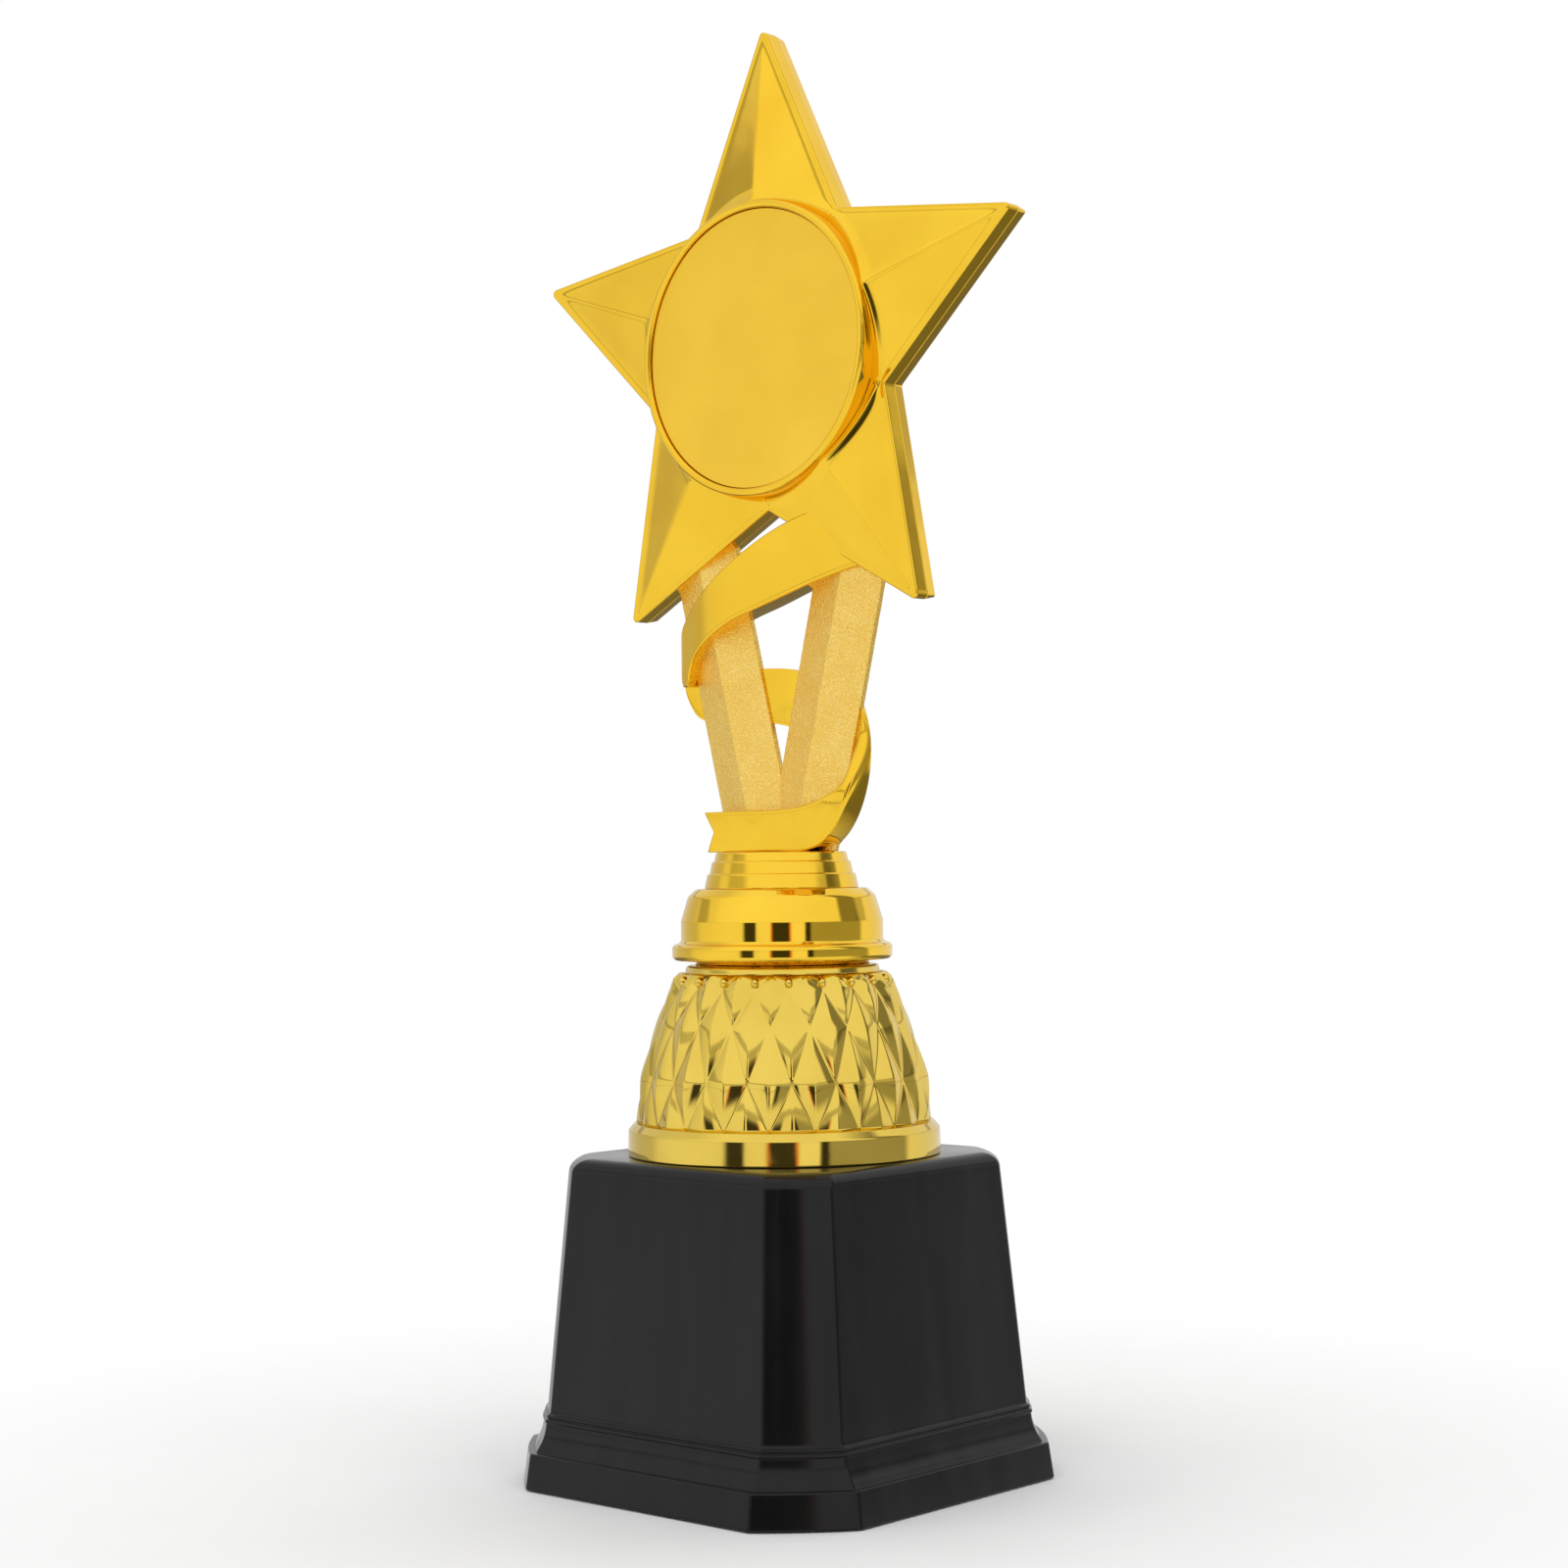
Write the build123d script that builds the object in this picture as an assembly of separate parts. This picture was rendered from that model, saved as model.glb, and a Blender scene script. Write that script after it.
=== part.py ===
from build123d import *

import os
from math import cos, hypot, radians, sin, sqrt

# A star trophy: a black hollow plinth, a gold cup with a diamond relief, a collar, and a figure
# made of a stepped foot, a V of two bars, a ribbon wound round them and a faceted star.
# Millimetres. The origin is the centre of the underside, +Z is up and the star faces -Y.

# ---------------------------------------------------------------- driving dimensions

# Plinth: a square with chamfered corners. "half" is half its width, "leg" a chamfer's leg.
BASE_HEIGHT = 57.0
PLINTH_HALF = 39.4
PLINTH_HEIGHT = 6.2
BODY_HALF_LOW = 34.4
BODY_HALF_HIGH = 30.8
BASE_TOP_ROUND = 2.5
LEG_AT_BODY_LOW = 9.4
LEG_AT_BODY_HIGH = 8.0
LEG_PER_HALF_PLINTH = 0.76
BASE_WALL = 2.4
REBATE_DEPTH = 3.0
REBATE_HALF, REBATE_LEG = 37.2, 11.6
HOLLOW_Z = 12.0
HOLLOW_HALF_LOW, HOLLOW_LEG_LOW = 33.4, 9.2
HOLLOW_HALF_MID, HOLLOW_LEG_MID = 32.2, 8.4
HOLLOW_LEG_HIGH = 6.9
COVER_HALF, COVER_LEG = 37.0, 11.5
FELT_HALF, FELT_LEG = 36.6, 11.4
FELT_THICKNESS = 1.0

# Ballast plate and the four columns that carry it.
BALLAST_TOP = 11.0
BALLAST_THICKNESS = 4.0
BALLAST_HALF = 29.5
BALLAST_LEG = 11.0
BALLAST_HOLE_RADIUS = 9.0
COLUMN_OFFSET = 21.0
COLUMN_RADIUS = 3.6
SMALL_SCREW_RADIUS = 1.3
SMALL_HEAD_RADIUS = 2.7
SMALL_HEAD_HEIGHT = 1.6
SCREW_CLEARANCE = 0.4
SCREW_SLOT_LENGTH, SCREW_SLOT_WIDTH, SCREW_SLOT_BOX = 3.6, 0.8, 1.2
BALLAST_SCREW_REACH = 9.0

# M5 tie rod and what clamps it.
ROD_RADIUS = 2.5
ROD_HOLE_RADIUS = 2.8
ROD_BOTTOM = 40.5
ROD_TOP = 108.8
ROOF_BOSS_RADIUS = 9.5
ROOF_BOSS_DEPTH = 2.4
WASHER_RADIUS = 9.0
WASHER_THICKNESS = 1.5
LOCK_WASHER_RADIUS = 4.6
LOCK_WASHER_THICKNESS = 1.2
NUT_FLATS = 8.0
NUT_HEIGHT = 4.0

# Cup.
RIM_RADIUS = 27.9
RIM_TOP = 62.2
RELIEF_BOTTOM = 62.7
RELIEF_TOP = 89.2
NECK_RADIUS = 17.3
NECK_BAND_TOP = 90.6
NECK_GROOVE_RADIUS = 16.4
NECK_TOP = 91.1
COLUMNS = 20

# Collar and foot of the figure.
FLANGE_RADIUS = 19.8
COLLAR_RADIUS = 18.1
COLLAR_TOP = 104.2
COLLAR_SLEEVE_RADIUS = 5.0
COLLAR_HOLLOW_LOW_RADIUS, COLLAR_HOLLOW_HIGH_RADIUS = 15.2, 14.4
COLLAR_HOLLOW_STEP_Z, COLLAR_HOLLOW_TOP = 98.0, 102.2
FOOT_TOP = 110.7

# Star: all its edges lie at the same distance from its centre, EDGE_DISTANCE.
STAR_Z = 200.5
STAR_RADIUS = 58.7
NOTCH_RADIUS = 28.8
TIP_ROUND = 0.9
STAR_FRONT_Y = -2.6
STAR_PARTING_Y = 0.3
STAR_BACK_Y = 3.1
STAR_BACK_DRAFT = 0.5
STAR_BORDER = 1.4
STAR_WALL = 1.5
FACET_SLOPE = 0.275
BACK_PAD_RADIUS = 24.4
BACK_PAD_Y = 6.5

# Medal holder and disc.
HOLDER_RADIUS = 26.4
HOLDER_FRONT_Y = -7.0
HOLDER_BACK_Y = -1.7
HOLDER_FLOOR_FRONT_Y = -5.3
HOLDER_FLOOR_BACK_Y = -4.1
DISC_RADIUS = 25.0
DISC_FRONT_Y = -6.3
TAPE_RADIUS = 22.0
TAPE_THICKNESS = 0.2

# Star screws, one in each arm at SCREW_ARM from the star's centre.
SCREW_ARM = 36.0
STAR_SCREW_RADIUS = 1.1
STAR_SCREW_TIP_Y = -2.7
STAR_HEAD_RADIUS = 2.3
STAR_HEAD_FRONT_Y = 3.2
STAR_HEAD_BACK_Y = 4.6
STAR_BOSS_RADIUS = 3.2

# V stem: two bars of six-sided section, mirrored about X = 0.
BAR_SPREAD = 0.248          # sideways travel per unit of height
BAR_OUTER_AT_FOOT = 12.5    # outer edge at the foot's top
CROTCH_Z = 124.6            # where the inner edges meet
BAR_TOP_Z = 174.5
BAR_EDGE_FRONT_Y = 0.1
BAR_EDGE_BACK_Y = 1.3
BAR_RIDGE_FRONT_Y = -2.0
BAR_RIDGE_BACK_Y = 2.4
TENON_X = 7.5
TENON_WIDTH, TENON_THICKNESS = 4.0, 1.6
TENON_DEPTH = 3.0

# Ribbon.
RIBBON_PARTING_Y = 0.8
RIBBON_TAIL_FRONT_Y = -4.2
RIBBON_BACK_Y = 4.4
TAIL_LOW_Z = 110.7
TAIL_HIGH_Z = 118.2
STRAND_END_X, STRAND_END_LOW_Z, STRAND_END_HIGH_Z = 24.0, 161.2, 173.0

EDGE_DISTANCE = STAR_RADIUS * NOTCH_RADIUS * sin(radians(36)) / hypot(
    STAR_RADIUS - NOTCH_RADIUS * cos(radians(36)), NOTCH_RADIUS * sin(radians(36))
)


# ---------------------------------------------------------------- helpers


def save(node, shape):
    """Write one sub-part to its own STEP file."""
    export_step(shape, f"parts/{node}.step")


def ring(outer, inner, low, high):
    """Upright ring or tube about the trophy's axis."""
    height = high - low
    solid = Cylinder(outer, height) - Cylinder(inner, height)
    return Pos(0, 0, low + height / 2) * solid


def rod_y(radius, y_from, y_to, x=0.0, z=0.0):
    """Cylinder parallel to Y between two depths."""
    length = abs(y_to - y_from)
    return Pos(x, (y_from + y_to) / 2, z) * Rot(90, 0, 0) * Cylinder(radius, length)


def hexagon_nut(flats, low, high, bore):
    """Hexagon nut about the trophy's axis, with a plain bore for its thread."""
    outline = RegularPolygon(flats / sqrt(3), 6)
    solid = extrude(Pos(0, 0, low) * outline, high - low)
    return solid - ring(bore, 0.0, low, high) if bore else solid


def octagon(half, leg, z):
    """Square with chamfered corners, at height z."""
    flat = half - leg
    corners = [(half, -flat), (half, flat), (flat, half), (-flat, half)]
    corners += [(-x, -y) for x, y in corners]
    return Pos(0, 0, z) * Polygon(*corners, align=None)


def octagon_block(low, high):
    """Straight-sided block between two octagons, each given as (z, half, leg)."""
    lower = octagon(low[1], low[2], low[0])
    upper = octagon(high[1], high[2], high[0])
    return loft([lower.face(), upper.face()], ruled=True)


def polyhedron(faces):
    """Closed solid from flat faces, each a list of its corner points."""
    return Solid(Shell([Face(Wire.make_polygon(corners, close=True)) for corners in faces]))


def front_plane(y, z=0.0):
    """Sketch plane parallel to XZ: sketch x is X, sketch y is Z and extrusions go towards -Y."""
    return Plane(origin=(0, y, z), x_dir=(1, 0, 0), z_dir=(0, -1, 0))


# ---------------------------------------------------------------- plinth


def corner_leg(half):
    """Chamfer leg that belongs to a half width."""
    if half > BODY_HALF_LOW:
        return LEG_AT_BODY_LOW + LEG_PER_HALF_PLINTH * (half - BODY_HALF_LOW)
    body_travel = (half - BODY_HALF_HIGH) / (BODY_HALF_LOW - BODY_HALF_HIGH)
    return LEG_AT_BODY_HIGH + (LEG_AT_BODY_LOW - LEG_AT_BODY_HIGH) * max(body_travel, 0.0)


def corner_reach(half):
    """Distance from the axis to the chamfer face."""
    return (2 * half - corner_leg(half)) / sqrt(2)


def plinth_prism(reach):
    """Moulded profile of the plinth, run straight through; reach turns a half width into a distance."""

    def at(half, z):
        return (reach(half), z)

    skin = [
        Line((0, 0), at(PLINTH_HALF, 0)),
        Line(at(PLINTH_HALF, 0), at(38.5, 5.7)),
        ThreePointArc(at(38.5, 5.7), at(38.36, 6.06), at(38.0, PLINTH_HEIGHT)),
        Line(at(38.0, PLINTH_HEIGHT), at(37.3, PLINTH_HEIGHT)),
        ThreePointArc(at(37.3, PLINTH_HEIGHT), at(35.85, 8.3), at(35.2, 11.1)),
        ThreePointArc(at(35.2, 11.1), at(35.4, 11.45), at(35.1, 11.8)),
        Line(at(35.1, 11.8), at(34.85, 12.0)),
        ThreePointArc(at(34.85, 12.0), at(35.02, 12.3), at(34.75, 12.6)),
        Line(at(34.75, 12.6), at(BODY_HALF_LOW, 12.9)),
        Line(at(BODY_HALF_LOW, 12.9), at(BODY_HALF_HIGH, BASE_HEIGHT - BASE_TOP_ROUND)),
        ThreePointArc(
            at(BODY_HALF_HIGH, BASE_HEIGHT - BASE_TOP_ROUND),
            at(BODY_HALF_HIGH - 0.8, BASE_HEIGHT - 0.75),
            at(BODY_HALF_HIGH - BASE_TOP_ROUND, BASE_HEIGHT),
        ),
        Line(at(BODY_HALF_HIGH - BASE_TOP_ROUND, BASE_HEIGHT), (0, BASE_HEIGHT)),
        Line((0, BASE_HEIGHT), (0, 0)),
    ]
    half_face = make_face(skin)
    whole = half_face + mirror(half_face, about=Plane.YZ)
    return extrude(front_plane(0) * whole, PLINTH_HALF + 10, both=True)


def column_places():
    """Where the four ballast columns and screws stand."""
    return [(sx * COLUMN_OFFSET, sy * COLUMN_OFFSET) for sx in (-1, 1) for sy in (-1, 1)]


def make_base_shell():
    """Hollow moulded plinth with a rebate, four ballast columns and a boss under its roof."""
    side = plinth_prism(lambda half: half)
    corner = plinth_prism(corner_reach)
    shell = side & Rot(0, 0, 90) * side & Rot(0, 0, 45) * corner & Rot(0, 0, 135) * corner
    roof = BASE_HEIGHT - BASE_WALL
    shell -= octagon_block((-1, REBATE_HALF, REBATE_LEG), (REBATE_DEPTH, REBATE_HALF, REBATE_LEG))
    hollow_middle = (HOLLOW_Z, HOLLOW_HALF_MID, HOLLOW_LEG_MID)
    shell -= octagon_block((REBATE_DEPTH, HOLLOW_HALF_LOW, HOLLOW_LEG_LOW), hollow_middle)
    shell -= octagon_block(hollow_middle, (roof, BODY_HALF_HIGH - BASE_WALL, HOLLOW_LEG_HIGH))
    shell += ring(ROOF_BOSS_RADIUS, ROD_HOLE_RADIUS, roof - ROOF_BOSS_DEPTH, roof)
    for x, y in column_places():
        height = roof - BALLAST_TOP
        shell += Pos(x, y, BALLAST_TOP + height / 2) * Cylinder(COLUMN_RADIUS, height)
        pilot = BALLAST_SCREW_REACH + 1
        shell -= Pos(x, y, BALLAST_TOP + pilot / 2) * Cylinder(SMALL_SCREW_RADIUS, pilot)
    return shell - Pos(0, 0, BASE_HEIGHT) * Cylinder(ROD_HOLE_RADIUS, 4 * BASE_WALL)


def make_ballast_plate():
    """Steel plate with a socket hole for the nut and four screw holes."""
    low = BALLAST_TOP - BALLAST_THICKNESS
    plate = octagon_block((low, BALLAST_HALF, BALLAST_LEG), (BALLAST_TOP, BALLAST_HALF, BALLAST_LEG))
    plate -= Pos(0, 0, low) * Cylinder(BALLAST_HOLE_RADIUS, 4 * BALLAST_THICKNESS)
    for x, y in column_places():
        plate -= Pos(x, y, low) * Cylinder(SMALL_SCREW_RADIUS + SCREW_CLEARANCE, 4 * BALLAST_THICKNESS)
    return plate


def make_ballast_screw(x, y):
    """Pan-head screw from below, through the plate into its column."""
    low = BALLAST_TOP - BALLAST_THICKNESS
    head = Pos(x, y, low - SMALL_HEAD_HEIGHT / 2) * Cylinder(SMALL_HEAD_RADIUS, SMALL_HEAD_HEIGHT)
    length = BALLAST_THICKNESS + BALLAST_SCREW_REACH
    slot = Pos(x, y, low - SMALL_HEAD_HEIGHT) * Box(SCREW_SLOT_LENGTH, SCREW_SLOT_WIDTH, SCREW_SLOT_BOX)
    return head + Pos(x, y, low + length / 2) * Cylinder(SMALL_SCREW_RADIUS, length) - slot


# ---------------------------------------------------------------- cup, collar and foot


def relief_point(step, radius, z):
    """Point of the diamond relief: step counts half columns round the axis from the front."""
    angle = radians(step * 180 / COLUMNS)
    return (radius * sin(angle), -radius * cos(angle), z)


def make_relief():
    """Rows of raised diamonds: valley nodes on even and odd half columns, a peak in each diamond."""
    even_low, odd_mid, even_mid, odd_high = (25.8, RELIEF_BOTTOM), (24.4, 70.8), (21.8, 80.4), (19.3, 86.8)
    peak_low, peak_mid, peak_high = (25.5, 70.8), (22.7, 80.4), (20.1, 86.8)
    faces = []
    lower_rim = []
    upper_rim = []
    for column in range(COLUMNS):
        even = 2 * column
        odd = even + 1
        below = relief_point(even, *even_low)
        below_next = relief_point(even + 2, *even_low)
        foot = relief_point(odd, 26.4, RELIEF_BOTTOM)
        left, right = relief_point(odd - 2, *odd_mid), relief_point(odd, *odd_mid)
        top, top_next = relief_point(even, *even_mid), relief_point(even + 2, *even_mid)
        high_left, high = relief_point(odd - 2, *odd_high), relief_point(odd, *odd_high)
        faces += [[below, foot, right], [foot, below_next, right]]
        peak = relief_point(even, *peak_low)
        faces += [[below, right, peak], [right, top, peak], [top, left, peak], [left, below, peak]]
        peak = relief_point(odd, *peak_mid)
        faces += [[right, top_next, peak], [top_next, high, peak]]
        faces += [[high, top, peak], [top, right, peak]]
        peak = relief_point(even, *peak_high)
        edge, edge_left = relief_point(even, 18.7, RELIEF_TOP), relief_point(odd - 2, 18.3, RELIEF_TOP)
        edge_right = relief_point(odd, 18.3, RELIEF_TOP)
        faces += [[top, high, peak], [high_left, top, peak]]
        faces += [[high, edge_right, peak], [edge_right, edge, peak]]
        faces += [[edge, edge_left, peak], [edge_left, high_left, peak]]
        lower_rim += [below, foot]
        upper_rim += [edge, edge_right]
    return polyhedron(faces + [lower_rim, upper_rim])


def make_cup_shell():
    """Bell with a rim band, a diamond relief, a neck band and a groove above it, open below."""
    band = make_face(
        Polyline((0, BASE_HEIGHT), (RIM_RADIUS, BASE_HEIGHT), (RIM_RADIUS - 0.1, RIM_TOP - 0.2))
        + ThreePointArc((RIM_RADIUS - 0.1, RIM_TOP - 0.2), (27.65, 62.45), (27.1, RELIEF_BOTTOM))
        + Polyline((27.1, RELIEF_BOTTOM), (0, RELIEF_BOTTOM), (0, BASE_HEIGHT))
    )
    bell = revolve(Plane.XZ * band, Axis.Z) + make_relief()
    bell += ring(NECK_RADIUS, ROD_HOLE_RADIUS, RELIEF_TOP, NECK_BAND_TOP)
    bell += ring(NECK_GROOVE_RADIUS, ROD_HOLE_RADIUS, NECK_BAND_TOP, NECK_TOP)
    hollow = make_face(
        Polyline((0, BASE_HEIGHT), (25.9, BASE_HEIGHT), (24.6, RELIEF_BOTTOM), (23.0, 71.0))
        + ThreePointArc((23.0, 71.0), (20.5, 79.0), (15.6, 85.4))
        + Polyline((15.6, 85.4), (0, 87.4), (0, BASE_HEIGHT))
    )
    bell -= revolve(Plane.XZ * hollow, Axis.Z)
    return bell - Pos(0, 0, NECK_TOP) * Cylinder(ROD_HOLE_RADIUS, 12)


def make_collar_shell():
    """Collar: rolled flange, cylinder and domed shoulder, hollow, with a sleeve round the rod."""
    outline = make_face(
        Polyline((0, NECK_TOP), (NECK_GROOVE_RADIUS, NECK_TOP), (17.4, 91.5), (19.3, 91.5))
        + ThreePointArc((19.3, 91.5), (FLANGE_RADIUS, 92.6), (19.2, 94.3))
        + Polyline((19.2, 94.3), (18.4, 94.6), (COLLAR_RADIUS, 94.9), (COLLAR_RADIUS, 98.4))
        + ThreePointArc((COLLAR_RADIUS, 98.4), (17.7, 100.4), (16.7, 102.7))
        + ThreePointArc((16.7, 102.7), (16.0, 103.8), (14.8, COLLAR_TOP))
        + Polyline((14.8, COLLAR_TOP), (0, COLLAR_TOP), (0, NECK_TOP))
    )
    collar = revolve(Plane.XZ * outline, Axis.Z)
    collar -= ring(COLLAR_HOLLOW_LOW_RADIUS, COLLAR_SLEEVE_RADIUS, NECK_TOP, COLLAR_HOLLOW_STEP_Z)
    collar -= ring(COLLAR_HOLLOW_HIGH_RADIUS, COLLAR_SLEEVE_RADIUS, COLLAR_HOLLOW_STEP_Z, COLLAR_HOLLOW_TOP)
    return collar - Pos(0, 0, COLLAR_TOP) * Cylinder(ROD_HOLE_RADIUS, 40)


def bar_tenon(side):
    """Peg under one bar that sits in the foot."""
    middle_y = (BAR_EDGE_FRONT_Y + BAR_EDGE_BACK_Y) / 2
    place = Pos(side * TENON_X, middle_y, FOOT_TOP - TENON_DEPTH / 2)
    return place * Box(TENON_WIDTH, TENON_THICKNESS, TENON_DEPTH)


def make_figure_foot():
    """Three stepped discs with rounded upper edges, a pocket for the insert and two sockets."""
    outline = make_face(
        Polyline((0, COLLAR_TOP), (13.8, COLLAR_TOP), (13.7, 106.1))
        + ThreePointArc((13.7, 106.1), (13.5, 106.6), (13.1, 106.8))
        + Polyline((13.1, 106.8), (13.0, 108.3))
        + ThreePointArc((13.0, 108.3), (12.85, 108.8), (12.2, 109.0))
        + Polyline((12.2, 109.0), (11.9, 110.0))
        + ThreePointArc((11.9, 110.0), (11.75, 110.5), (11.2, FOOT_TOP))
        + Polyline((11.2, FOOT_TOP), (0, FOOT_TOP), (0, COLLAR_TOP))
    )
    foot = revolve(Plane.XZ * outline, Axis.Z)
    foot -= hexagon_nut(NUT_FLATS, COLLAR_TOP, ROD_TOP, 0)
    for side in (-1, 1):
        foot -= bar_tenon(side)
    return foot


# ---------------------------------------------------------------- V stem


def bar_envelope(side):
    """Six-sided bar without its tenon and screw hole, as it is cut out of whatever it passes through."""
    slant = sqrt(1 + BAR_SPREAD**2)
    inner_at_foot = -BAR_SPREAD * (CROTCH_Z - FOOT_TOP)
    middle = (BAR_OUTER_AT_FOOT + inner_at_foot) / 2
    half = (BAR_OUTER_AT_FOOT - inner_at_foot) / 2 / slant
    along = Vector(side * BAR_SPREAD, 0, 1)
    section_plane = Plane(origin=(side * middle, 0, FOOT_TOP), x_dir=(1, 0, -side * BAR_SPREAD), z_dir=along)
    section = Polygon(
        (-half, BAR_EDGE_FRONT_Y),
        (0, BAR_RIDGE_FRONT_Y),
        (half, BAR_EDGE_FRONT_Y),
        (half, BAR_EDGE_BACK_Y),
        (0, BAR_RIDGE_BACK_Y),
        (-half, BAR_EDGE_BACK_Y),
        align=None,
    )
    length = (BAR_TOP_Z - FOOT_TOP) * slant
    bar = extrude(section_plane * section, length + 20)
    bar += extrude(section_plane * section, -20)
    height = BAR_TOP_Z - FOOT_TOP
    return bar & Pos(side * 50, 0, FOOT_TOP + height / 2) * Box(100, 20, height)


def make_bar(side):
    """One bar with its tenon and the hole for the star's screw."""
    x, z = star_screw_places()[2 if side < 0 else 3]
    bar = bar_envelope(side) + bar_tenon(side)
    return bar - rod_y(STAR_SCREW_RADIUS, BAR_RIDGE_FRONT_Y - 1, BAR_RIDGE_BACK_Y + 1, x, z)


# ---------------------------------------------------------------- star


def star_corners(inset):
    """Ten corners, tip first, of the star's outline moved in by inset."""
    scale = 1 - inset / EDGE_DISTANCE
    corners = []
    for index in range(10):
        radius = (NOTCH_RADIUS if index % 2 else STAR_RADIUS) * scale
        angle = radians(90 + 36 * index)
        corners.append((radius * cos(angle), radius * sin(angle)))
    return corners


def star_sketch(inset):
    """Star outline with rounded tips."""
    outline = Polygon(*star_corners(inset), align=None)
    tips = outline.vertices().filter_by(lambda v: hypot(v.X, v.Y) > NOTCH_RADIUS + 5)
    return fillet(tips, TIP_ROUND)


def star_pyramid(inset, y, towards):
    """Ten facets that rise from an inset outline at depth y to one peak, towards -1 or +1."""
    base = [(x, y, STAR_Z + z) for x, z in star_corners(inset)]
    rise = (EDGE_DISTANCE - inset) * FACET_SLOPE
    peak = (0, y + towards * rise, STAR_Z)
    sides = [[base[i], base[(i + 1) % 10], peak] for i in range(10)]
    return polyhedron(sides + [base])


def star_slab(inset, y_front, y_back):
    """Flat star between two depths."""
    return extrude(front_plane(y_back, STAR_Z) * star_sketch(inset), y_back - y_front)


def star_screw_places():
    """Screw centres (x, z), from the top arm anticlockwise as seen from the front."""
    places = []
    for index in range(5):
        angle = radians(90 + 72 * index)
        places.append((SCREW_ARM * cos(angle), STAR_Z + SCREW_ARM * sin(angle)))
    return places


def star_bosses(y_front, y_back):
    """Screw bosses in the five arms between two depths."""
    return [rod_y(STAR_BOSS_RADIUS, y_front, y_back, x, z) for x, z in star_screw_places()]


def make_star_front_shell():
    """Front half: side wall, flat border and ten facets round the opening for the medal holder."""
    skin = star_slab(0, STAR_FRONT_Y, STAR_PARTING_Y) + star_pyramid(STAR_BORDER, STAR_FRONT_Y, -1)
    inner_y = STAR_FRONT_Y + STAR_WALL
    hollow = star_slab(STAR_WALL, inner_y, STAR_PARTING_Y) + star_pyramid(STAR_BORDER + STAR_WALL, inner_y, -1)
    wall = rod_y(HOLDER_RADIUS + 1.2, HOLDER_BACK_Y, STAR_FRONT_Y - 2, 0, STAR_Z)
    shell = skin - (hollow - wall)
    for boss in star_bosses(STAR_FRONT_Y - 1.4, STAR_PARTING_Y):
        shell += boss & skin
    shell -= rod_y(HOLDER_RADIUS, HOLDER_FRONT_Y - 5, STAR_BACK_Y, 0, STAR_Z)
    for x, z in star_screw_places():
        shell -= rod_y(STAR_SCREW_RADIUS, STAR_SCREW_TIP_Y - 0.2, STAR_BACK_Y, x, z)
    for side in (-1, 1):
        shell -= bar_envelope(side)
    return shell


def make_star_back_shell():
    """Rear half: drafted side wall, border, ten facets and a plain round pad."""
    depth = STAR_BACK_Y - STAR_PARTING_Y
    wall = loft(
        [
            (front_plane(STAR_PARTING_Y, STAR_Z) * star_sketch(0)).face(),
            (front_plane(STAR_BACK_Y, STAR_Z) * star_sketch(STAR_BACK_DRAFT)).face(),
        ],
        ruled=True,
    )
    cap = rod_y(STAR_RADIUS + 5, STAR_PARTING_Y - 1, BACK_PAD_Y, 0, STAR_Z)
    skin = wall + (star_pyramid(STAR_BACK_DRAFT + STAR_BORDER, STAR_BACK_Y, 1) & cap)
    skin += rod_y(BACK_PAD_RADIUS, STAR_BACK_Y - depth / 2, BACK_PAD_Y, 0, STAR_Z)
    inner_y = STAR_BACK_Y - STAR_WALL + 0.3
    inner_cap = rod_y(STAR_RADIUS + 5, STAR_PARTING_Y - 1, BACK_PAD_Y - STAR_WALL, 0, STAR_Z)
    hollow = star_slab(STAR_WALL, STAR_PARTING_Y, inner_y)
    hollow += star_pyramid(STAR_BORDER + STAR_WALL + 0.4, inner_y, 1) & inner_cap
    shell = skin - hollow
    for boss in star_bosses(STAR_PARTING_Y, BACK_PAD_Y):
        shell += boss & skin
    for x, z in star_screw_places():
        shell -= rod_y(STAR_SCREW_RADIUS, STAR_PARTING_Y - 1, BACK_PAD_Y + 1, x, z)
        shell -= rod_y(STAR_HEAD_RADIUS, STAR_HEAD_FRONT_Y, BACK_PAD_Y + 1, x, z)
    for side in (-1, 1):
        shell -= bar_envelope(side)
    return shell


def make_star_screw(x, z):
    """Self-tapping screw from behind with a cross recess in its pan head."""
    screw = rod_y(STAR_SCREW_RADIUS, STAR_SCREW_TIP_Y, STAR_HEAD_FRONT_Y, x, z)
    screw += rod_y(STAR_HEAD_RADIUS, STAR_HEAD_FRONT_Y, STAR_HEAD_BACK_Y, x, z)
    recess = Pos(x, STAR_HEAD_BACK_Y, z)
    return screw - recess * Box(2.6, 1.4, 0.6) - recess * Box(0.6, 1.4, 2.6)


def make_medal_holder():
    """Round cup: a front recess with a rim for the disc, hollow behind its floor."""
    holder = rod_y(HOLDER_RADIUS, HOLDER_FRONT_Y, HOLDER_BACK_Y, 0, STAR_Z)
    holder -= rod_y(DISC_RADIUS, HOLDER_FRONT_Y - 1, HOLDER_FLOOR_FRONT_Y, 0, STAR_Z)
    holder -= rod_y(DISC_RADIUS, HOLDER_FLOOR_BACK_Y, HOLDER_BACK_Y + 1, 0, STAR_Z)
    rim = holder.edges().filter_by(lambda e: abs(e.center().Y - HOLDER_FRONT_Y) < 0.01)
    return fillet(rim, 0.55)


# ---------------------------------------------------------------- ribbon


def relief_block(outline, plan, profile=None):
    """Solid seen as outline (X, Z) from the front, plan (X, Y) from above and profile (Y, Z) from the side."""
    block = extrude(front_plane(20) * outline, 40) & extrude(Pos(0, 0, 100) * plan, 90)
    return block & extrude(Plane.YZ * profile, 40, both=True) if profile else block


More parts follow.
